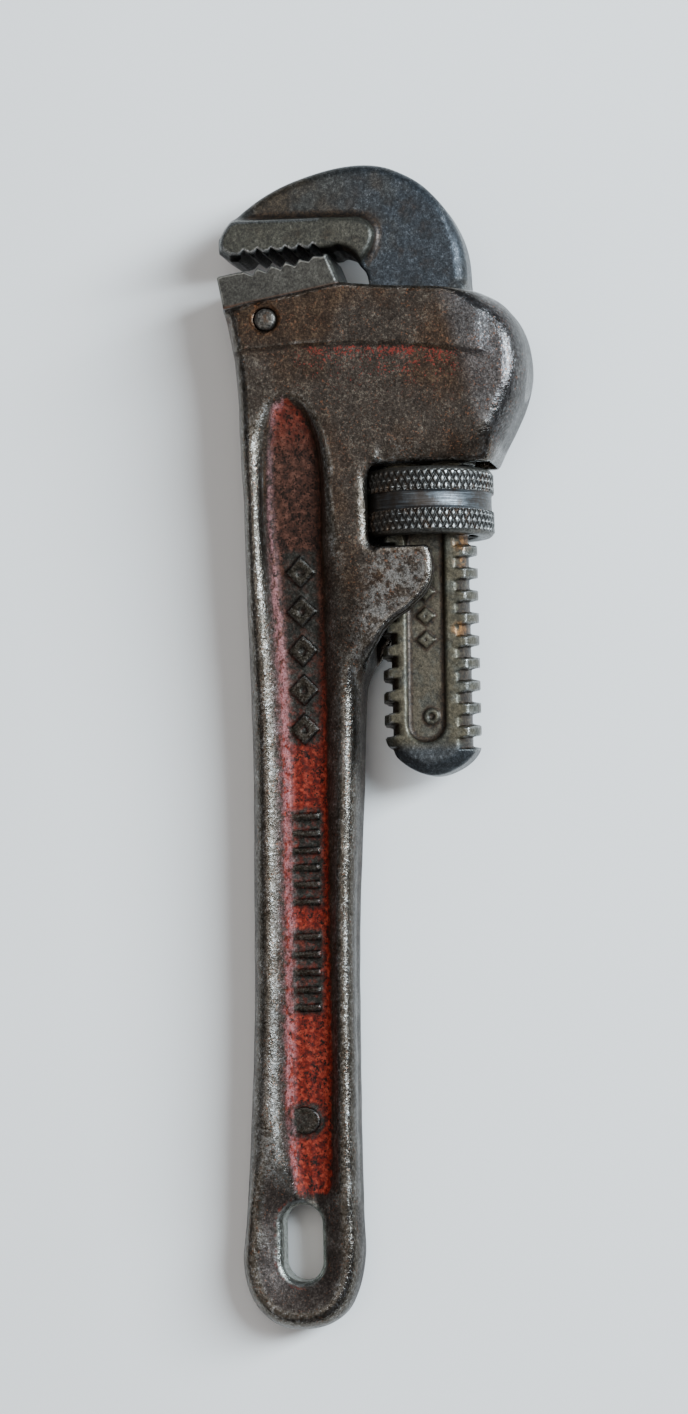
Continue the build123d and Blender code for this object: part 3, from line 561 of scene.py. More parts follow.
def build_hook():
    h = 0.2
    g = Grid((-30.6, -40.6, -6.7), (8.0, 51.2, 6.7), h)
    X, Y, Z = g.X, g.Y, g.Z
    X2, Y2 = g.X2, g.Y2
    A = np.abs(Z)
    # toothed edge: a plain line, cut by worn saw teeth
    t0 = np.array([-26.4, 37.15])
    t1 = np.array([-12.6, 37.75])
    td = (t1 - t0) / np.linalg.norm(t1 - t0)
    tn = np.array([-td[1], td[0]])
    line = runs([("s", hook_outer), ("l", [hook_outer[-1], (-27.9, 37.2), tuple(t0), tuple(t1), throat_curve[0]]),
                 ("s", throat_curve), ("l", [throat_curve[-1], (-CREST_R, 29.0), (CREST_R - 0.05, 29.0)])])
    d = dist2(line, X2, Y2)
    u = (X2 - t0[0]) * td[0] + (Y2 - t0[1]) * td[1]
    v = (X2 - t0[0]) * tn[0] + (Y2 - t0[1]) * tn[1]
    ph = (u / 2.08) % 1.0
    saw = np.where(ph < 0.36, ph / 0.36, (1 - ph) / 0.64)
    on = step(-0.2, 0.3, u) * (1 - step(12.3, 12.8, u))
    depth = 1.15 * on
    tooth = np.where((u > -0.4) & (u < 12.95), saw * depth - v, -9.0)
    rr = np.full(X2.shape, 1.5)
    rr = np.where(v < 3.5, 0.45, rr)
    right = step(0, 6, X2)
    rr = np.maximum(rr, 2.1 * right * step(30, 33, Y2))
    rr = rr * (1 - step(33, 29, Y2)) + 0.6 * step(33, 29, Y2)
    web_h = HOOK_Z * np.ones_like(X2)
    web = edge_round(d[:, :, None], A - web_h[:, :, None], rr[:, :, None])
    blk_line = runs([("l", [(-40, 30), (-40, 43.15), (-27.5, 43.15), (-14.4, 42.95), (-9.6, 42.75)]),
                     ("s", [(-9.6, 42.75), (-7.3, 42.1), (-6.1, 40.4), (-6.4, 38.1), (-7.9, 36.0)]),
                     ("l", [(-7.9, 36.0), (-8.4, 35.0), (-8.4, 30), (-40, 30)])])
    db = dist2(blk_line, X2, Y2)
    # the block's sides lean in a little
    q = smax(d, db, 0.5)[:, :, None] + np.maximum(A - HOOK_Z, 0) * 0.30
    blk = edge_round(q, A - BLOCK_Z, F(0.55))
    f = smin(web.astype(F), blk.astype(F), 0.9)
    f = smax(f, tooth[:, :, None].astype(F), 0.12)
    f = np.where(Y2[:, :, None] < 29.2, 5.0, f).astype(F)
    # shank
    rad = np.hypot(X, Z)
    lip = (SHANK_Z - 0.18)
    th = np.arctan2(-Z, X)                             # grows from +X towards -Z
    yc = PHASE + PITCH * th / (2 * pi)
    s = (Y - yc + PITCH / 2) % PITCH - PITCH / 2       # distance from a valley's middle
    on_t = (Y < 9.0) & (Y > -37.0)
    a = np.abs(s)
    top_w, bot_w = (PITCH - 1.45) / 2, 1.55 / 2
    prof = np.clip((a - bot_w) / (top_w - bot_w), 0, 1)
    surf_r = ROOT_R + (CREST_R - ROOT_R) * prof
    surf_r = np.where(on_t, surf_r, CREST_R)
    bar_side = (rad - surf_r) * 0.62
    bar_flat = np.maximum(bar_side, rad - CREST_R)
    flat = A - SHANK_Z
    bar = smax(bar_flat.astype(F), flat.astype(F), 0.28)
    end_line = runs([("l", [(-10, 60), (-10, -31.4)]),
                     ("s", [(-10, -31.4), (-7.5, -33.4), (-6.3, -35.4), (-4.7, -37.4), (-2.6, -38.9), (0.3, -39.8), (3.3, -39.1), (5.8, -37.4), (7.3, -35.4), (10, -32.6)]),
                     ("l", [(10, -32.6), (10, 60), (-10, 60)])])
    de = dist2(end_line, X2, Y2)[:, :, None]
    bar = smax(bar, edge_round(de, (A - SHANK_Z) * 1.0, F(0.3)).astype(F), 0.3)
    bar = smax(bar, ((A - SHANK_Z) * 0.76 + (de + 1.75) * 0.65).astype(F), 0.3)
    bar = np.maximum(bar, (Y - 31.0).astype(F))
    # panel sunk in each face
    yy = np.maximum(np.abs(Y2 + 14.8) - (20.0 - 2.6), 0)
    dp = (np.hypot(X2 + 0.15 - 0.012 * (Y2 + 14.8), yy) - 2.6)[:, :, None]
    pan = smax(((dp - (A - SHANK_Z + 0.8) * 0.55) * 0.9).astype(F), (SHANK_Z - 0.8 - A).astype(F), 0.35)
    bar = smax(bar, -pan, 0.3)
    # plain raised marks in the panel
    mk = np.full(f.shape, 9.0, F)
    for cy in (-9.5, -13.0, -16.5, -20.0):
        qq = (np.abs(X2 + 0.2) / 1.5 + np.abs(Y2 - cy) / 1.35 - 1)[:, :, None] * 1.0
        mk = np.minimum(mk, edge_round(np.maximum(qq, np.abs(qq + 0.5) - 0.42), A - (SHANK_Z - 0.45), 0.15))
    qq = (np.abs(np.hypot(X2 - 0.35, Y2 + 31.2) - 0.8) - 0.32)[:, :, None]
    mk = np.minimum(mk, edge_round(qq, A - (SHANK_Z - 0.5), 0.15))
    mk = np.maximum(mk, 2.5 - A)
    bar = smin(bar, mk.astype(F), 0.15)
    f = smin(f, bar, 0.6)
    P, Q = surface(g, f)
    P = np.clip(P, [-29.63, -39.79, -5.99], [7.09, 50.53, 5.99])
    wear = np.clip(bend(g, f, P, 0.3) * 0.22 + bend(g, f, P, 0.8) * 0.5, -1, 2)
    wear = np.where((P[:, 1] < 6) & (wear > 0), wear * np.where(np.abs(P[:, 0]) < 3.9, 0.25, 0.5), wear)
    wear = np.where((np.hypot(P[:, 0] + 8.4, P[:, 1] - 39.5) < 6.5) & (wear > 0), wear * 0.4, wear)
    ob = make_object("hook_forging", P, Q, {
        "tip": np.clip((-34.6 - P[:, 1]) / 1.6, 0, 1),
        "wear": wear,
        "block": np.clip((np.abs(P[:, 2]) - 4.7) / 0.6, 0, 1) * (P[:, 1] > 33),
        "shank": np.clip((27 - P[:, 1]) / 14, 0, 1),
        "panel": np.clip((SHANK_Z - 0.25 - np.abs(P[:, 2])) / 0.3, 0, 1) * (np.abs(P[:, 0]) < 3.2) * (P[:, 1] < 6) * (P[:, 1] > -35),
        # under: the underside of the toothed edge, painted near black in the material as painted shadow
        "under": np.clip((5.85 - np.abs(P[:, 2])) / 0.35, 0, 1) * np.clip((38.9 - P[:, 1]) / 0.5, 0, 1) * (P[:, 0] < -11.0) * (P[:, 1] > 33),
        # cool: the right of the hook's head, tinted darker and bluish in the material as painted sheen
        "cool": np.clip((P[:, 0] + 14) / 9, 0, 1) * np.clip((P[:, 1] - 17) / 12, 0, 1),
        "rust": sum(np.clip(1 - np.hypot(P[:, 0] - a, P[:, 1] - b) / c, 0, 1) for a, b, c in ((5.4, -5.9, 1.7), (5.0, -8.6, 1.1), (4.7, -18.6, 1.3))) * 1.6 * (P[:, 2] > 0)})
    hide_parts("hook_jaw")
    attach(ob, "hook")
    return ob


# ------------------------------------------------------------------ heel jaw


def build_heel():
    h = 0.14
    g = Grid((-30.9, 22.0, -6.9), (-9.0, 38.6, 6.9), h)
    X, Y, Z = g.X, g.Y, g.Z
    X2, Y2 = g.X2, g.Y2
    A = np.abs(Z)
    H = 5.14
    base = 0.05
    pts = [seat_point(0.0, base), seat_point(-0.12, H - 0.2), seat_point(0.3, H + 0.12), seat_point(16.75, H + 0.02), seat_point(17.85, base)]
    d = dist2(np.array(pts), X2, Y2)
    u = (X2 - SEAT_L[0]) * seat_dir[0] + (Y2 - SEAT_L[1]) * seat_dir[1]
    v = (X2 - SEAT_L[0]) * seat_up[0] + (Y2 - SEAT_L[1]) * seat_up[1]
    ph = ((u - 3.9) / 2.15) % 1.0
    saw = np.where(ph < 0.66, ph / 0.66, (1 - ph) / 0.34)
    # the teeth are worn away towards the outer end
    dep = 0.92 * step(3.0, 4.6, u) * (1 - 0.55 * step(12.0, 15.5, u)) * (1 - step(16.0, 16.4, u))
    tooth = v - (H - saw * dep)
    side = d[:, :, None]
    f = edge_round(side, A - 6.20, F(0.22))
    f = smax(f.astype(F), tooth[:, :, None].astype(F), 0.22)
    # the edge along the throat end is broken by a wide chamfer
    ch = (u[:, :, None] - 17.35 + (v[:, :, None] - 0) * 0.225 + (A - 6.2)) * 0.7
    f = smax(f, ch.astype(F), 0.15)
    tg = np.maximum(np.maximum(2.2 - u, u - 13.0), np.maximum(-6.6 - v, v - 0.6))[:, :, None]
    f = np.minimum(f, np.maximum(tg, A - 2.6))
    f = smax(f.astype(F), -(np.hypot(X - PIN_AT[0], Y - PIN_AT[1]) - 1.61).astype(F), 0.1)
    P, Q = surface(g, f)
    lo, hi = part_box("heel_jaw")
    lo = np.array(lo) * 1000 - OFF
    hi = np.array(hi) * 1000 - OFF
    hi[1] = max(hi[1], 37.35)
    P = np.clip(P, lo + 0.005, hi - 0.005)
    wear = np.clip(bend(g, f, P, 0.25) * 0.16 + bend(g, f, P, 0.6) * 0.3, -1, 2)
    vv = (P[:, 0] - SEAT_L[0]) * seat_up[0] + (P[:, 1] - SEAT_L[1]) * seat_up[1]
    wear = np.where(vv < 0.8, np.minimum(wear, 0.0), wear)
    # tooth marks the toothed top, painted near black in the material as painted shadow
    ob = make_object("heel_jaw_insert", P, Q, {"wear": wear, "rust": np.clip(1.3 - vv / 0.5, 0, 1), "tooth": np.clip((vv - 3.9) / 0.3, 0, 1) * np.clip((6.05 - np.abs(P[:, 2])) / 0.3, 0, 1)})
    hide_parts("heel_jaw")
    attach(ob, "housing")
    return ob


# ------------------------------------------------------------------ pin, nut, springs


def lathe(name, profile, axis_fn, segs=96, attrs=None):
    """Closed turned piece. profile is a closed loop of (radius, along) points, axis_fn maps (r, along, angle) to a point."""
    n = len(profile)
    ang = np.linspace(0, 2 * pi, segs, endpoint=False)
    P = []
    for t in ang:
        for r, a in profile:
            P.append(axis_fn(r, a, t))
    P = np.array(P)
    idx = np.arange(segs * n).reshape(segs, n)
    q = np.stack([idx, np.roll(idx, -1, 0), np.roll(np.roll(idx, -1, 0), -1, 1), np.roll(idx, -1, 1)], -1).reshape(-1, 4)
    return make_object(name, P, q, attrs)


def build_pin():
    # domed, slightly battered ends on a plain shank
    prof = []
    top = BAND_Z + 0.28
    ring = [(PIN_R, 0.0), (PIN_R, top - 0.42), (PIN_R - 0.06, top - 0.26), (PIN_R - 0.22, top - 0.12), (PIN_R - 0.5, top - 0.045), (PIN_R - 0.95, top - 0.01), (0.0, top)]
    segs = 72
    rings = [(r, -z) for r, z in reversed(ring)][:-1] + ring
    P, Q = [], []
    ang = np.linspace(0, 2 * pi, segs, endpoint=False)
    rows = []
    for r, z in rings:
        if r == 0.0:
            rows.append([len(P)])
            P.append((PIN_AT[0], PIN_AT[1], z))
            continue
        row = []
        for i, t in enumerate(ang):
            dent = 0.02 * sin(3 * t + 1.0) * (abs(z) > BAND_Z) + 0.012 * sin(7 * t) * (abs(z) > BAND_Z)
            row.append(len(P))
            P.append((PIN_AT[0] + (r - max(0, dent)) * cos(t), PIN_AT[1] + (r - max(0, dent)) * sin(t), z - (0.02 if z > 0 else -0.02) * (1 + cos(t - 2.2)) * (abs(z) > BAND_Z)))
        rows.append(row)
    for a, b in zip(rows, rows[1:]):
        for i in range(segs):
            j = (i + 1) % segs
            if len(a) == 1:
                Q.append((a[0], b[j], b[i], b[i]))
            elif len(b) == 1:
                Q.append((a[i], a[j], b[0], b[0]))
            else:
                Q.append((a[i], a[j], b[j], b[i]))
    V = (np.array(P) + OFF) / 1000.0
    me = bpy.data.meshes.new("pin_body")
    me.from_pydata([tuple(v) for v in V], [], [tuple(dict.fromkeys(q)) for q in Q])
    me.polygons.foreach_set("use_smooth", np.ones(len(me.polygons), bool))
    me.update()
    ob = bpy.data.objects.new("heel_pin_ends", me)
    bpy.context.scene.collection.objects.link(ob)
    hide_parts("heel_jaw_pin")
    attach(ob, "housing")
    return ob


def build_nut():
    """Ring nut along Y: two knurled bands, a smooth groove between them, and a right-hand thread inside."""
    segs = 960
    cells = 58                                 # diamonds around the band
    ys = []
    band = [(-NUT_HALF + 0.62, -1.22), (1.38, NUT_HALF - 0.62)]

    def lin(a, b, n):
        return list(np.linspace(a, b, n, endpoint=False))
    fine = 26
    # outside, from the lower face to the upper one
    prof = [(8.9, -NUT_HALF, 0), (9.15, -NUT_HALF + 0.05, 0), (9.40, -NUT_HALF + 0.22, 0), (9.55, -NUT_HALF + 0.42, 0), (9.60, -NUT_HALF + 0.55, 0)]
    prof += [(9.72, y, 1) for y in lin(-NUT_HALF + 0.62, -1.25, fine)]
    prof += [(9.58, -1.22, 0), (9.42, -1.10, 0), (9.40, -0.8, 0), (9.38, 0.05, 0), (9.40, 0.95, 0), (9.43, 1.22, 0), (9.56, 1.36, 0)]
    prof += [(9.72, y, 1) for y in lin(1.40, NUT_HALF - 0.62, fine - 3)]
    prof += [(9.62, NUT_HALF - 0.60, 0), (9.58, NUT_HALF - 0.46, 0), (9.42, NUT_HALF - 0.24, 0), (9.15, NUT_HALF - 0.06, 0), (8.9, NUT_HALF, 0)]
    outside = len(prof)
    # upper face, then down the threaded bore, then the lower face
    prof += [(8.3, NUT_HALF, 0), (7.75, NUT_HALF - 0.02, 0), (7.5, NUT_HALF - 0.15, 0)]
    nb = 64
    for y in np.linspace(NUT_HALF - 0.2, -NUT_HALF + 0.2, nb):
        prof.append((7.32, y, 2))
    prof += [(7.5, -NUT_HALF + 0.15, 0), (7.75, -NUT_HALF + 0.02, 0), (8.3, -NUT_HALF, 0)]
    R = np.array([p[0] for p in prof])
    Yp = np.array([p[1] for p in prof])
    K = np.array([p[2] for p in prof])
    th = np.linspace(0, 2 * pi, segs, endpoint=False)[:, None]
    r = np.broadcast_to(R[None, :], (segs, len(prof))).copy()
    y = np.broadcast_to(Yp[None, :], (segs, len(prof))).copy()
    # knurl: two sets of grooves crossing at 30 degrees to the axis
    cell = 2 * pi * NUT_R / cells
    s = th * NUT_R
    lead = tan(radians(28.0))
    g1 = ((s + y * lead) / cell) % 1.0
    g2 = ((s - y * lead) / cell) % 1.0
    def ridge(g):
        a = np.abs(g - 0.5) * 2.0              # 1 at the groove
        return np.clip((a - 0.34) / 0.66, 0, 1)
    depth = 0.36
    cut = np.maximum(ridge(g1), ridge(g2))
    wearn = 0.5 + 0.5 * np.sin(3 * th + 0.7) * np.sin(5 * th + 2.0)
    flat = 0.10 + 0.10 * wearn                 # worn tips
    cut = np.clip((cut - flat) / (1 - flat), 0, 1)
    k1 = (K[None, :] == 1)
    edge = np.minimum(np.minimum(np.abs(Yp - (-NUT_HALF + 0.62)), np.abs(Yp + 1.25)), np.minimum(np.abs(Yp - 1.40), np.abs(Yp - (NUT_HALF - 0.62))))
    fade = np.clip(edge / 0.22, 0.25, 1)[None, :]
    r = np.where(k1, NUT_R - 0.005 - depth * cut * fade, r)
    # inside thread
    yc = PHASE + PITCH * th / (2 * pi)
    sp = (y - yc + PITCH / 2) % PITCH - PITCH / 2
    half_bot = 1.55 / 2 - 0.16
    slope = ((PITCH - 1.45) / 2 - 1.55 / 2) / (CREST_R - ROOT_R)
    tip = half_bot + slope * (6.10 - ROOT_R)
    root = tip + slope * (7.32 - 6.10)
    ridge_r = 7.32 - (7.32 - 6.12) * np.clip((root - np.abs(sp)) / (root - tip), 0, 1)
    # the thread runs out before each face
    runout = np.clip((NUT_HALF - 0.35 - np.abs(y)) / 0.5, 0, 1)
    ridge_r = 7.32 - (7.32 - ridge_r) * runout
    r = np.where(K[None, :] == 2, ridge_r, r)
    x = r * np.cos(th)
    z = -r * np.sin(th)
    P = np.stack([x, y, z], -1).reshape(-1, 3)
    n = len(prof)
    idx = np.arange(segs * n).reshape(segs, n)
    a, b = idx, np.roll(idx, -1, 0)
    q = np.stack([a, b, np.roll(b, -1, 1), np.roll(a, -1, 1)], -1).reshape(-1, 4)
    crest = np.where(k1, 1 - cut, 0.0)
    groove = np.broadcast_to(((Yp > -1.3) & (Yp < 1.4) & (np.arange(n) < outside))[None, :], r.shape).astype(float)
    # the left of the nut, which sits inside the window, is darkened in the material: painted shade
    nut_left_shade = np.clip((3.5 - P[:, 0]) / 9.0, 0, 1)
    ob = make_object("ring_nut", P, q, {"nut_left_shade": nut_left_shade, "crest": np.broadcast_to(crest, r.shape).ravel(), "groove": groove.ravel(), "knurl": np.broadcast_to(k1, r.shape).astype(float).ravel()})
    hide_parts("adjusting_nut")
    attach(ob, "nut")
    return ob


housing = build_housing()
hook = build_hook()
heel = build_heel()
pin = build_pin()
nut = build_nut()


# ------------------------------------------------------------------ materials


class Mat:
    """Small helper for building a node material. Coordinates are object coordinates in millimetres."""

    def __init__(self, name):
        self.mat = bpy.data.materials.new(name)
        self.mat.use_nodes = True
        self.nt = self.mat.node_tree
        self.nt.nodes.clear()
        self.out = self.nt.nodes.new("ShaderNodeOutputMaterial")
        self.bsdf = self.nt.nodes.new("ShaderNodeBsdfPrincipled")
        self.nt.links.new(self.bsdf.outputs[0], self.out.inputs[0])
        tc = self.nt.nodes.new("ShaderNodeTexCoord")
        mp = self.nt.nodes.new("ShaderNodeMapping")
        mp.inputs["Scale"].default_value = (1000, 1000, 1000)
        self.nt.links.new(tc.outputs["Object"], mp.inputs[0])
        self.co = mp.outputs[0]

    def link(self, a, b):
        if isinstance(a, (int, float)):
            b.default_value = a
        elif isinstance(a, (tuple, list)):
            b.default_value = tuple(a) + ((1.0,) if len(a) == 3 and len(b.default_value) == 4 else ())
        else:
            self.nt.links.new(a, b)

    def noise(self, scale, detail=4.0, rough=0.55, seed=0.0, stretch=None, dist=0.0):
        n = self.nt.nodes.new("ShaderNodeTexNoise")
        n.noise_dimensions = "4D"
        n.inputs["W"].default_value = seed
        n.inputs["Scale"].default_value = scale
        n.inputs["Detail"].default_value = detail
        n.inputs["Roughness"].default_value = rough
        n.inputs["Distortion"].default_value = dist
        co = self.co
        if stretch:
            m = self.nt.nodes.new("ShaderNodeMapping")
            m.inputs["Scale"].default_value = stretch
            self.nt.links.new(self.co, m.inputs[0])
            co = m.outputs[0]
        self.nt.links.new(co, n.inputs["Vector"])
        return n.outputs["Fac"]

    def voronoi(self, scale, seed=0.0, feature="F1"):
        n = self.nt.nodes.new("ShaderNodeTexVoronoi")
        n.voronoi_dimensions = "4D"
        n.feature = feature
        n.inputs["W"].default_value = seed
        n.inputs["Scale"].default_value = scale
        self.nt.links.new(self.co, n.inputs["Vector"])
        return n.outputs["Distance"]

    def attr(self, name):
        n = self.nt.nodes.new("ShaderNodeAttribute")
        n.attribute_name = name
        return n.outputs["Fac"]

    def math(self, op, a, b=0.0, c=None, clamp=False):
        n = self.nt.nodes.new("ShaderNodeMath")
        n.operation = op
        n.use_clamp = clamp
        self.link(a, n.inputs[0])
        self.link(b, n.inputs[1])
        if c is not None:
            self.link(c, n.inputs[2])
        return n.outputs[0]

    def ramp(self, fac, lo, hi, a=0.0, b=1.0, smooth=True):
        n = self.nt.nodes.new("ShaderNodeMapRange")
        n.interpolation_type = "SMOOTHSTEP" if smooth else "LINEAR"
        self.link(fac, n.inputs["Value"])
        n.inputs["From Min"].default_value = lo
        n.inputs["From Max"].default_value = hi
        n.inputs["To Min"].default_value = a
        n.inputs["To Max"].default_value = b
        return n.outputs[0]

    def colors(self, fac, stops):
        n = self.nt.nodes.new("ShaderNodeValToRGB")
        cr = n.color_ramp
        while len(cr.elements) < len(stops):
            cr.elements.new(0.5)
        for e, (p, c) in zip(cr.elements, stops):
            e.position = p
            e.color = tuple(srgb(c)) + (1.0,)
        self.link(fac, n.inputs[0])
        return n.outputs[0]

    def mix(self, fac, a, b, blend="MIX"):
        n = self.nt.nodes.new("ShaderNodeMix")
        n.data_type = "RGBA"
        n.blend_type = blend
        n.clamp_factor = True
        self.link(fac, n.inputs[0])
        self.link(a if not isinstance(a, tuple) else tuple(srgb(a)) + (1.0,), n.inputs[6])
        self.link(b if not isinstance(b, tuple) else tuple(srgb(b)) + (1.0,), n.inputs[7])
        return n.outputs[2]

    def bump(self, height, strength, dist_mm, normal=None):
        n = self.nt.nodes.new("ShaderNodeBump")
        n.inputs["Strength"].default_value = strength
        n.inputs["Distance"].default_value = dist_mm / 1000.0
        self.link(height, n.inputs["Height"])
        if normal is not None:
            self.link(normal, n.inputs["Normal"])
        return n.outputs[0]

    def set(self, **kw):
        for k, v in kw.items():
            self.link(v, self.bsdf.inputs[k.replace("_", " ")])
        return self.mat


def srgb(c):
    return [((v / 255.0) / 12.92 if v <= 10 else (((v / 255.0) + 0.055) / 1.055) ** 2.4) for v in c]


def cast_iron():
    m = Mat("worn_cast_iron")
    fine = m.noise(2.6, 3.0, 0.7, 1.0)
    speck = m.noise(5.5, 2.0, 0.6, 2.0)
    mid = m.noise(0.42, 4.0, 0.6, 3.0)
    big = m.noise(0.09, 3.0, 0.5, 4.0)
    tone = m.math("ADD", m.math("MULTIPLY", fine, 0.50), m.math("MULTIPLY", speck, 0.30))
    tone = m.math("ADD", tone, m.math("MULTIPLY", mid, 0.20))
    w = m.attr("wear")
    iron = m.colors(tone, [(0.36, (16, 11, 7)), (0.47, (42, 35, 29)), (0.54, (57, 49, 42)), (0.66, (108, 99, 86))])
    brown = m.colors(tone, [(0.36, (18, 11, 6)), (0.50, (46, 34, 25)), (0.66, (90, 72, 54))])
    base = m.mix(m.ramp(big, 0.46, 0.62), iron, brown)
    # the left side of the head is tinted brown: painted shade with a warm reflected tint
    base = m.mix(m.math("MULTIPLY", m.attr("left"), 0.75), base, m.colors(tone, [(0.36, (30, 17, 9)), (0.5, (66, 46, 31)), (0.66, (98, 74, 52))]))
    # smooth handled places are grey steel, sharper edges are rubbed bright
    geo = m.nt.nodes.new("ShaderNodeSeparateXYZ")
    m.nt.links.new(m.co, geo.inputs[0])
    y = geo.outputs[1]
    base = m.mix(m.ramp(y, -54.0, -62.0, 0.0, 0.85), base, m.colors(tone, [(0.37, (24, 19, 16)), (0.5, (46, 39, 35)), (0.64, (80, 72, 67))]))
    grip = m.colors(tone, [(0.37, (29, 25, 20)), (0.46, (65, 59, 51)), (0.54, (94, 89, 82)), (0.64, (152, 153, 152))])
    # the rounded back of the head is lighter and bluish: painted sheen
    back_sheen = m.colors(tone, [(0.37, (46, 45, 45)), (0.5, (83, 83, 84)), (0.64, (130, 134, 139))])
    base = m.mix(m.math("MULTIPLY", m.attr("back"), 0.5), base, back_sheen)
    base = m.mix(m.math("MULTIPLY", m.ramp(m.math("ADD", w, m.math("MULTIPLY", m.math("SUBTRACT", mid, 0.5), 0.22)), 0.03, 0.32), 0.88), base, grip)
    scuff = m.math("MULTIPLY", m.attr("lug"), m.ramp(m.math("ADD", m.math("MULTIPLY", m.noise(0.8, 4.0, 0.65, 17.0), 0.6), m.math("MULTIPLY", fine, 0.4)), 0.44, 0.58))
    base = m.mix(m.math("MULTIPLY", scuff, 0.6), base, m.colors(speck, [(0.36, (76, 71, 65)), (0.64, (136, 133, 128))]))
    rub = m.math("ADD", w, m.math("MULTIPLY", m.math("SUBTRACT", tone, 0.5), 2.2))
    rubm = m.ramp(rub, 0.64, 1.3)
    steel = m.colors(speck, [(0.35, (102, 101, 99)), (0.52, (148, 150, 151)), (0.68, (194, 199, 204))])
    base = m.mix(m.math("MULTIPLY", rubm, 0.7), base, steel)
    dots = m.math("MULTIPLY", m.ramp(m.noise(3.1, 2.0, 0.55, 18.0), 0.60, 0.66), m.ramp(m.noise(0.3, 3.0, 0.6, 19.0), 0.42, 0.60, 0.15, 0.6))
    base = m.mix(dots, base, (112, 74, 52))
    # the narrow sides are painted darker as painted shade, and made duller
    side = m.attr("side")
    base = m.mix(m.math("MULTIPLY", side, 0.6), base, m.colors(tone, [(0.37, (14, 12, 10)), (0.5, (34, 30, 27)), (0.64, (70, 66, 61))]))
    # grime in hollows
    grime = m.ramp(w, -0.08, -0.55)
    base = m.mix(m.math("MULTIPLY", grime, 0.7), base, (20, 14, 10))
    rustm = m.math("MULTIPLY", m.attr("rust"), m.ramp(fine, 0.40, 0.56, 0.25, 1.0))
    base = m.mix(m.math("MULTIPLY", rustm, 0.85), base, m.colors(fine, [(0.4, (34, 21, 12)), (0.6, (74, 48, 30))]))
    base = m.mix(m.math("MULTIPLY", m.attr("bore"), 0.9), base, m.colors(fine, [(0.4, (112, 112, 104)), (0.6, (166, 167, 160))]))
    # paint left in the recess
    rec = m.attr("recess")
    floor = m.attr("floor")
    mark = m.attr("mark")
    patch = m.attr("patch")
    along = m.math("MAXIMUM", m.ramp(y, 22.0, -8.0), m.ramp(y, 41.0, 49.0, 0.0, 0.45))                       # 0 at the head end, 1 towards the hang hole
    pits = m.noise(3.6, 2.0, 0.6, 11.0)
    pit2 = m.noise(1.2, 3.0, 0.6, 12.0)
    paint = m.colors(m.noise(1.6, 4.0, 0.6, 13.0), [(0.36, (56, 6, 1)), (0.5, (97, 21, 7)), (0.64, (136, 52, 34))])
    dark_paint = m.colors(m.noise(1.4, 4.0, 0.6, 14.0), [(0.36, (34, 19, 12)), (0.5, (58, 33, 23)), (0.66, (90, 57, 45))])
    red = m.mix(along, dark_paint, paint)
    holes = m.math("ADD", m.math("MULTIPLY", pits, 0.66), m.math("MULTIPLY", pit2, 0.34))
    cover = m.ramp(m.math("SUBTRACT", holes, m.math("MULTIPLY", m.math("SUBTRACT", 1.0, along), 0.02)), 0.415, 0.465)
    keep = m.math("MULTIPLY", rec, cover)
    gone = m.math("MAXIMUM", m.math("MULTIPLY", patch, m.ramp(m.math("ADD", pit2, m.math("MULTIPLY", mid, 0.5)), 0.66, 0.92, 1.0, 0.55)), m.math("MULTIPLY", mark, 0.97))
    keep = m.math("MULTIPLY", keep, m.math("SUBTRACT", 1.0, gone))
    edge_keep = m.ramp(m.math("SUBTRACT", rec, m.math("MULTIPLY", m.math("SUBTRACT", 0.5, pit2), 2.2)), 0.35, 0.95)
    keep = m.math("MULTIPLY", keep, edge_keep)
    soot = m.mix(m.math("MULTIPLY", floor, 0.9), base, (22, 14, 10))
    dirty = m.colors(tone, [(0.38, (17, 16, 12)), (0.5, (38, 36, 31)), (0.64, (74, 72, 66))])
    soot = m.mix(m.math("MAXIMUM", m.math("MULTIPLY", patch, 0.9), m.math("MULTIPLY", mark, 0.9)), soot, dirty)
    base = m.mix(keep, soot, red)
    # a thin pink smear of paint where the recess walls are half rubbed, on the left wall only, lightened to pink-white
    # as a painted highlight
    wallm = m.math("MULTIPLY", m.attr("smear_and_sheen"), m.ramp(m.math("ADD", m.math("MULTIPLY", m.noise(0.8, 4.0, 0.6, 15.0), 0.6), m.math("MULTIPLY", fine, 0.4)), 0.42, 0.58), clamp=True)
    base = m.mix(m.math("MULTIPLY", wallm, 0.6), base, m.colors(speck, [(0.36, (98, 58, 55)), (0.6, (188, 132, 132))]))
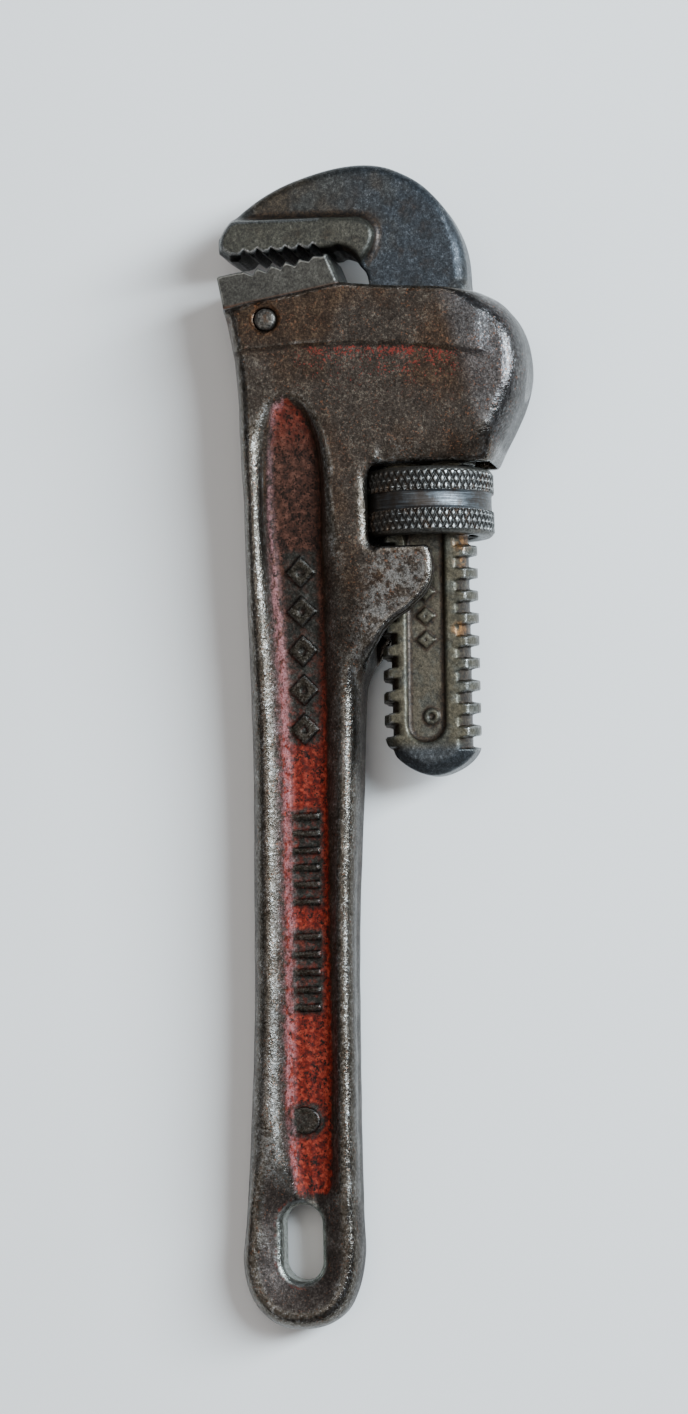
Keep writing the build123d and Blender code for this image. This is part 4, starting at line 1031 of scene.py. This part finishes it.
    # flecks of paint under the raised band
    sp = m.attr("speck")
    cl = m.noise(0.55, 3.0, 0.6, 16.0)
    fl = m.ramp(m.math("ADD", m.math("MULTIPLY", pits, 0.75), m.math("ADD", m.math("MULTIPLY", sp, 0.16), m.math("MULTIPLY", cl, 0.30))), 0.66, 0.715)
    base = m.mix(m.math("MULTIPLY", m.math("MULTIPLY", fl, m.ramp(sp, 0.02, 0.3)), 0.8), base, (116, 44, 36))
    m.bsdf.inputs["Specular IOR Level"].default_value = 0.15
    rough = m.math("SUBTRACT", m.ramp(tone, 0.35, 0.65, 0.52, 0.38), m.math("MULTIPLY", m.ramp(m.attr("gloss"), 0.05, 0.35), 0.24))
    rough = m.math("ADD", rough, m.math("MULTIPLY", m.math("SUBTRACT", rec, wallm), 0.12))
    rough = m.math("SUBTRACT", rough, m.math("MULTIPLY", m.attr("back"), 0.13))
    metal = m.math("ADD", 0.45, m.math("MAXIMUM", m.math("MULTIPLY", m.ramp(m.attr("gloss"), 0.05, 0.35), 0.5), m.math("MULTIPLY", m.attr("back"), 0.45)))
    metal = m.math("SUBTRACT", metal, m.math("MULTIPLY", keep, 0.5), clamp=True)
    rough = m.math("ADD", rough, m.math("MULTIPLY", side, 0.10))
    h = m.math("ADD", m.math("MULTIPLY", fine, 0.7), m.math("MULTIPLY", m.noise(1.1, 4.0, 0.65, 21.0), 0.9))
    h = m.math("ADD", h, m.math("MULTIPLY", speck, 0.3))
    b = m.bump(h, 0.7, 0.14)
    b = m.bump(mid, 0.4, 0.25, b)
    return m.set(Base_Color=base, Roughness=rough, Metallic=metal, Normal=b)


def forged_steel():
    m = Mat("blackened_forging")
    fine = m.noise(2.4, 3.0, 0.7, 31.0)
    speck = m.noise(6.0, 2.0, 0.6, 32.0)
    mid = m.noise(0.35, 4.0, 0.6, 33.0)
    tone = m.math("ADD", m.math("MULTIPLY", fine, 0.5), m.math("ADD", m.math("MULTIPLY", speck, 0.28), m.math("MULTIPLY", mid, 0.22)))
    black = m.colors(tone, [(0.36, (16, 15, 13)), (0.48, (38, 37, 34)), (0.56, (54, 54, 51)), (0.68, (98, 98, 94))])
    brown = m.colors(tone, [(0.36, (20, 15, 10)), (0.50, (46, 39, 30)), (0.66, (82, 72, 58))])
    olive = m.colors(tone, [(0.36, (24, 23, 18)), (0.48, (49, 47, 39)), (0.58, (68, 66, 56)), (0.70, (104, 102, 90))])
    cool = m.colors(tone, [(0.36, (12, 14, 16)), (0.48, (32, 36, 40)), (0.56, (52, 57, 62)), (0.68, (104, 110, 116))])
    base = m.mix(m.ramp(m.noise(0.13, 3.0, 0.55, 34.0), 0.50, 0.64), black, brown)
    # painted sheen: the right of the hook's head is tinted darker and bluish
    base = m.mix(m.math("MULTIPLY", m.attr("cool"), m.ramp(m.noise(0.2, 3.0, 0.55, 38.0), 0.34, 0.50, 0.35, 0.95)), base, cool)
    blk = m.attr("block")
    sh = m.attr("shank")
    panel = m.attr("panel")
    base = m.mix(m.math("MULTIPLY", blk, 0.8), base, olive)
    base = m.mix(m.math("MULTIPLY", sh, 0.9), base, m.colors(tone, [(0.36, (28, 25, 17)), (0.48, (61, 56, 42)), (0.58, (83, 77, 61)), (0.70, (113, 107, 91))]))
    base = m.mix(m.math("MULTIPLY", m.math("MULTIPLY", sh, panel), 0.7), base, m.colors(tone, [(0.36, (27, 23, 16)), (0.50, (64, 58, 47)), (0.66, (97, 90, 76))]))
    stain = m.math("MULTIPLY", sh, m.ramp(m.noise(0.32, 4.0, 0.6, 39.0), 0.48, 0.62))
    base = m.mix(m.math("MULTIPLY", stain, 0.5), base, m.colors(tone, [(0.36, (22, 23, 20)), (0.50, (56, 59, 55)), (0.66, (94, 98, 92))]))
    base = m.mix(m.math("MULTIPLY", m.attr("tip"), 0.85), base, cool)
    w = m.attr("wear")
    # brown grime in the thread and the panel
    gr = m.math("MULTIPLY", m.ramp(m.math("ADD", w, m.math("MULTIPLY", m.math("SUBTRACT", mid, 0.5), 1.2)), 0.0, -0.45), 0.85)
    base = m.mix(gr, base, m.colors(fine, [(0.4, (20, 14, 9)), (0.6, (52, 38, 25))]))
    rub = m.math("ADD", w, m.math("MULTIPLY", m.math("SUBTRACT", tone, 0.5), 2.2))
    rubm = m.ramp(rub, 0.55, 1.25)
    steel = m.colors(speck, [(0.36, (100, 99, 95)), (0.52, (132, 132, 129)), (0.68, (170, 171, 171))])
    base = m.mix(m.math("MULTIPLY", rubm, 0.6), base, steel)
    rust = m.math("MULTIPLY", m.attr("rust"), m.ramp(m.noise(0.8, 3.0, 0.6, 37.0), 0.42, 0.56))
    base = m.mix(m.math("MULTIPLY", rust, 0.8), base, m.colors(fine, [(0.4, (92, 60, 30)), (0.6, (152, 108, 60))]))
    # painted shadow: the underside of the hook's teeth, between the jaws, is near black
    base = m.mix(m.math("MULTIPLY", m.attr("under"), 0.9), base, (9, 7, 5))
    rough = m.math("SUBTRACT", m.ramp(tone, 0.35, 0.65, 0.50, 0.34), m.math("MULTIPLY", rubm, 0.10))
    h = m.math("ADD", m.math("MULTIPLY", fine, 0.6), m.math("MULTIPLY", m.noise(1.0, 4.0, 0.65, 36.0), 0.8))
    b = m.bump(h, 0.65, 0.15)
    return m.set(Base_Color=base, Roughness=rough, Metallic=m.math("ADD", 0.6, m.math("MULTIPLY", rubm, 0.3)), Normal=b)


def machined_steel():
    m = Mat("heel_steel_worn")
    fine = m.noise(2.8, 3.0, 0.7, 41.0)
    speck = m.noise(6.0, 2.0, 0.6, 42.0)
    mid = m.noise(0.5, 4.0, 0.6, 43.0)
    tone = m.math("ADD", m.math("MULTIPLY", fine, 0.45), m.math("ADD", m.math("MULTIPLY", speck, 0.25), m.math("MULTIPLY", mid, 0.30)))
    base = m.colors(tone, [(0.36, (24, 21, 17)), (0.48, (50, 47, 41)), (0.58, (68, 66, 60)), (0.70, (106, 104, 96))])
    w = m.attr("wear")
    base = m.mix(m.math("MULTIPLY", m.attr("rust"), m.ramp(fine, 0.35, 0.55, 0.7, 1.0)), base, (74, 40, 18))
    rubm = m.ramp(m.math("ADD", w, m.math("MULTIPLY", m.math("SUBTRACT", tone, 0.5), 1.8)), 0.4, 1.0)
    base = m.mix(m.math("MULTIPLY", rubm, 0.65), base, (146, 144, 136))
    base = m.mix(m.math("MULTIPLY", m.ramp(w, -0.1, -0.6), 0.75), base, (24, 19, 14))
    # painted shadow: the toothed top, in the gap between the jaws, is near black
    base = m.mix(m.math("MULTIPLY", m.attr("tooth"), 0.85), base, (10, 8, 6))
    b = m.bump(m.math("ADD", fine, m.noise(1.2, 4.0, 0.6, 44.0)), 0.5, 0.10)
    rough = m.math("SUBTRACT", m.ramp(tone, 0.35, 0.65, 0.52, 0.36), m.math("MULTIPLY", rubm, 0.12))
    return m.set(Base_Color=base, Roughness=rough, Metallic=m.math("ADD", 0.6, m.math("MULTIPLY", rubm, 0.3)), Normal=b)


def nut_steel():
    m = Mat("knurled_steel")
    fine = m.noise(3.0, 3.0, 0.7, 51.0)
    mid = m.noise(0.45, 4.0, 0.6, 52.0)
    crest = m.attr("crest")
    groove = m.attr("groove")
    knurl = m.attr("knurl")
    dark = m.colors(fine, [(0.36, (22, 20, 17)), (0.52, (50, 48, 45)), (0.66, (84, 82, 78))])
    brown = m.colors(fine, [(0.36, (22, 14, 8)), (0.55, (54, 38, 24)), (0.68, (84, 62, 42))])
    base = m.mix(m.ramp(mid, 0.50, 0.62), dark, brown)
    bright = m.colors(m.noise(4.5, 2.0, 0.6, 53.0), [(0.36, (74, 73, 69)), (0.52, (118, 118, 115)), (0.66, (172, 173, 171))])
    # painted shade: the left of the nut gets fewer bright crests
    nut_left_shade = m.attr("nut_left_shade")
    top = m.ramp(m.math("SUBTRACT", m.math("ADD", crest, m.math("MULTIPLY", m.math("SUBTRACT", fine, 0.5), 1.1)), m.math("MULTIPLY", nut_left_shade, 0.25)), 0.40, 1.10)
    base = m.mix(m.math("MULTIPLY", m.math("MULTIPLY", top, knurl), m.math("SUBTRACT", 0.85, m.math("MULTIPLY", nut_left_shade, 0.4))), base, bright)
    lines = m.noise(1.0, 3.0, 0.6, 54.0, stretch=(0.25, 7.0, 0.25))
    turned = m.colors(lines, [(0.36, (38, 39, 39)), (0.50, (62, 65, 67)), (0.64, (94, 99, 103))])
    stain = m.ramp(m.noise(0.5, 4.0, 0.6, 55.0), 0.42, 0.60)
    turned = m.mix(m.math("MULTIPLY", stain, 0.7), turned, (44, 34, 25))
    base = m.mix(groove, base, turned)
    plain = m.math("SUBTRACT", 1.0, m.math("ADD", groove, knurl, clamp=True))
    base = m.mix(m.math("MULTIPLY", plain, 0.7), base, m.colors(fine, [(0.38, (42, 39, 34)), (0.6, (88, 86, 80))]))
    # painted shade: the left of the nut is given a darker brown colour
    base = m.mix(m.math("MULTIPLY", nut_left_shade, 0.62), base, m.colors(mid, [(0.4, (22, 17, 11)), (0.6, (44, 34, 23))]))
    b = m.bump(m.math("ADD", fine, m.math("MULTIPLY", lines, 0.6)), 0.4, 0.06)
    rough = m.math("SUBTRACT", m.ramp(fine, 0.35, 0.65, 0.46, 0.32), m.math("MULTIPLY", top, 0.06))
    return m.set(Base_Color=base, Roughness=rough, Metallic=m.math("ADD", 0.7, m.math("MULTIPLY", top, 0.2)), Normal=b)


def pin_steel():
    m = Mat("pin_steel_dull")
    fine = m.noise(3.2, 3.0, 0.7, 61.0)
    big = m.noise(0.9, 3.0, 0.6, 62.0)
    base = m.colors(fine, [(0.36, (34, 31, 27)), (0.52, (66, 62, 57)), (0.68, (112, 108, 100))])
    base = m.mix(m.math("MULTIPLY", m.ramp(big, 0.5, 0.66), 0.6), base, (74, 52, 34))
    b = m.bump(fine, 0.5, 0.08)
    return m.set(Base_Color=base, Roughness=m.ramp(fine, 0.35, 0.65, 0.46, 0.34), Metallic=0.75, Normal=b)


def spring_steel():
    m = Mat("oiled_spring_steel")
    fine = m.noise(3.5, 3.0, 0.6, 71.0)
    base = m.colors(fine, [(0.36, (30, 27, 24)), (0.52, (50, 47, 42)), (0.68, (80, 76, 70))])
    b = m.bump(fine, 0.3, 0.05)
    return m.set(Base_Color=base, Roughness=m.ramp(fine, 0.35, 0.65, 0.46, 0.32), Metallic=0.85, Normal=b)


def dress(ob, mat):
    ob.data.materials.clear()
    ob.data.materials.append(mat)


iron = cast_iron()
forge = forged_steel()
pinm = pin_steel()
springm = spring_steel()
dress(housing, iron)
dress(hook, forge)
dress(heel, machined_steel())
dress(pin, pinm)
dress(nut, nut_steel())
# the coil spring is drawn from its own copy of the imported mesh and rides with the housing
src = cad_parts["coil_spring"]
coil = bpy.data.objects.new("coil_spring_wire", src.data.copy())
bpy.context.scene.collection.objects.link(coil)
coil.matrix_world = src.matrix_world.copy()
coil.data.materials.clear()
dress(coil, springm)
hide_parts("coil_spring")
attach(coil, "housing")
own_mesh(coil)
dress(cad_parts["flat_spring"], springm)
dress(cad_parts["spring_rivet"], pinm)

# ------------------------------------------------------------------ floor, light, camera
# the tool lies as it does when put down: on the nut, the end of the handle and the left of the head
normal = Vector((0.105, 0.031, 0.994)).normalized()
pts = []
for ob in (housing, hook, heel, nut):
    co = np.empty(len(ob.data.vertices) * 3, F)
    ob.data.vertices.foreach_get("co", co)
    pts.append(co.reshape(-1, 3))
allp = np.vstack(pts)
low = float((allp @ np.array(normal)).min())
size = 1.6
me = bpy.data.meshes.new("floor")
n = 2
me.from_pydata([(-size, -size, 0), (size, -size, 0), (size, size, 0), (-size, size, 0)], [], [(0, 1, 2, 3)])
floor = bpy.data.objects.new("floor", me)
bpy.context.scene.collection.objects.link(floor)
rot = Vector((0, 0, 1)).rotation_difference(normal)
floor.matrix_world = Matrix.Translation(normal * (low - 0.00005)) @ rot.to_matrix().to_4x4()
fm = Mat("pale_floor")
fm.set(Base_Color=fm.colors(fm.noise(0.01, 2.0, 0.5, 81.0), [(0.3, (222, 219, 214)), (0.7, (227, 224, 219))]), Roughness=0.75)
dress(floor, fm.mat)

world = bpy.data.worlds.new("studio")
bpy.context.scene.world = world
world.use_nodes = True
bg = world.node_tree.nodes["Background"]
bg.inputs[0].default_value = (0.80, 0.86, 1.0, 1)
bg.inputs[1].default_value = 0.26


def area(name, loc, target, w, h, power, color):
    ld = bpy.data.lights.new(name, "AREA")
    ld.shape = "RECTANGLE"
    ld.size = w
    ld.size_y = h
    ld.energy = power
    ld.color = color
    ob = bpy.data.objects.new(name, ld)
    bpy.context.scene.collection.objects.link(ob)
    ob.location = loc
    ob.rotation_euler = (Vector(target) - Vector(loc)).to_track_quat("-Z", "Y").to_euler()
    return ob


area("window", (0.66, 0.22, 0.56), (0, 0, 0), 0.24, 0.7, 24.0, (0.75, 0.88, 1.0))
area("fill", (-0.5, -0.4, 0.75), (0, 0, 0), 0.8, 0.8, 1.6, (1.0, 0.95, 0.88))
area("top", (0.0, 0.15, 0.9), (0, 0, 0), 0.5, 0.5, 2.4, (1.0, 0.98, 0.95))

# camera: 560 mm away, a little to the right of and below square on
phi, th, psi = radians(10.0), radians(3.5), radians(1.3)
FPX, CX, CY, PX_MM = 3800.0, 344.0, 707.0, 6.8
D = FPX / PX_MM
d = Vector((tan(phi), -tan(th), 1.0)).normalized()
Yv = Vector((0, 1, 0))
u0 = (Yv - d * Yv.dot(d)).normalized()
r0 = u0.cross(d)
u = u0 * cos(psi) + r0 * sin(psi)
r = r0 * cos(psi) - u0 * sin(psi)
a = (427.9 - CX) / FPX * D
b = -(506.0 - CY) / FPX * D
C = -r * a - u * b + d * D
C = (C + Vector(OFF)) / 1000.0
cam_data = bpy.data.cameras.new("camera")
cam = bpy.data.objects.new("camera", cam_data)
bpy.context.scene.collection.objects.link(cam)
cam.matrix_world = Matrix(((r.x, u.x, d.x, C.x), (r.y, u.y, d.y, C.y), (r.z, u.z, d.z, C.z), (0, 0, 0, 1)))
cam_data.sensor_fit = "VERTICAL"
cam_data.sensor_height = 24.0
cam_data.lens = 24.0 * FPX / 1414.0
cam_data.clip_start = 0.01
cam_data.clip_end = 10
bpy.context.scene.camera = cam

bpy.context.view_layer.update()
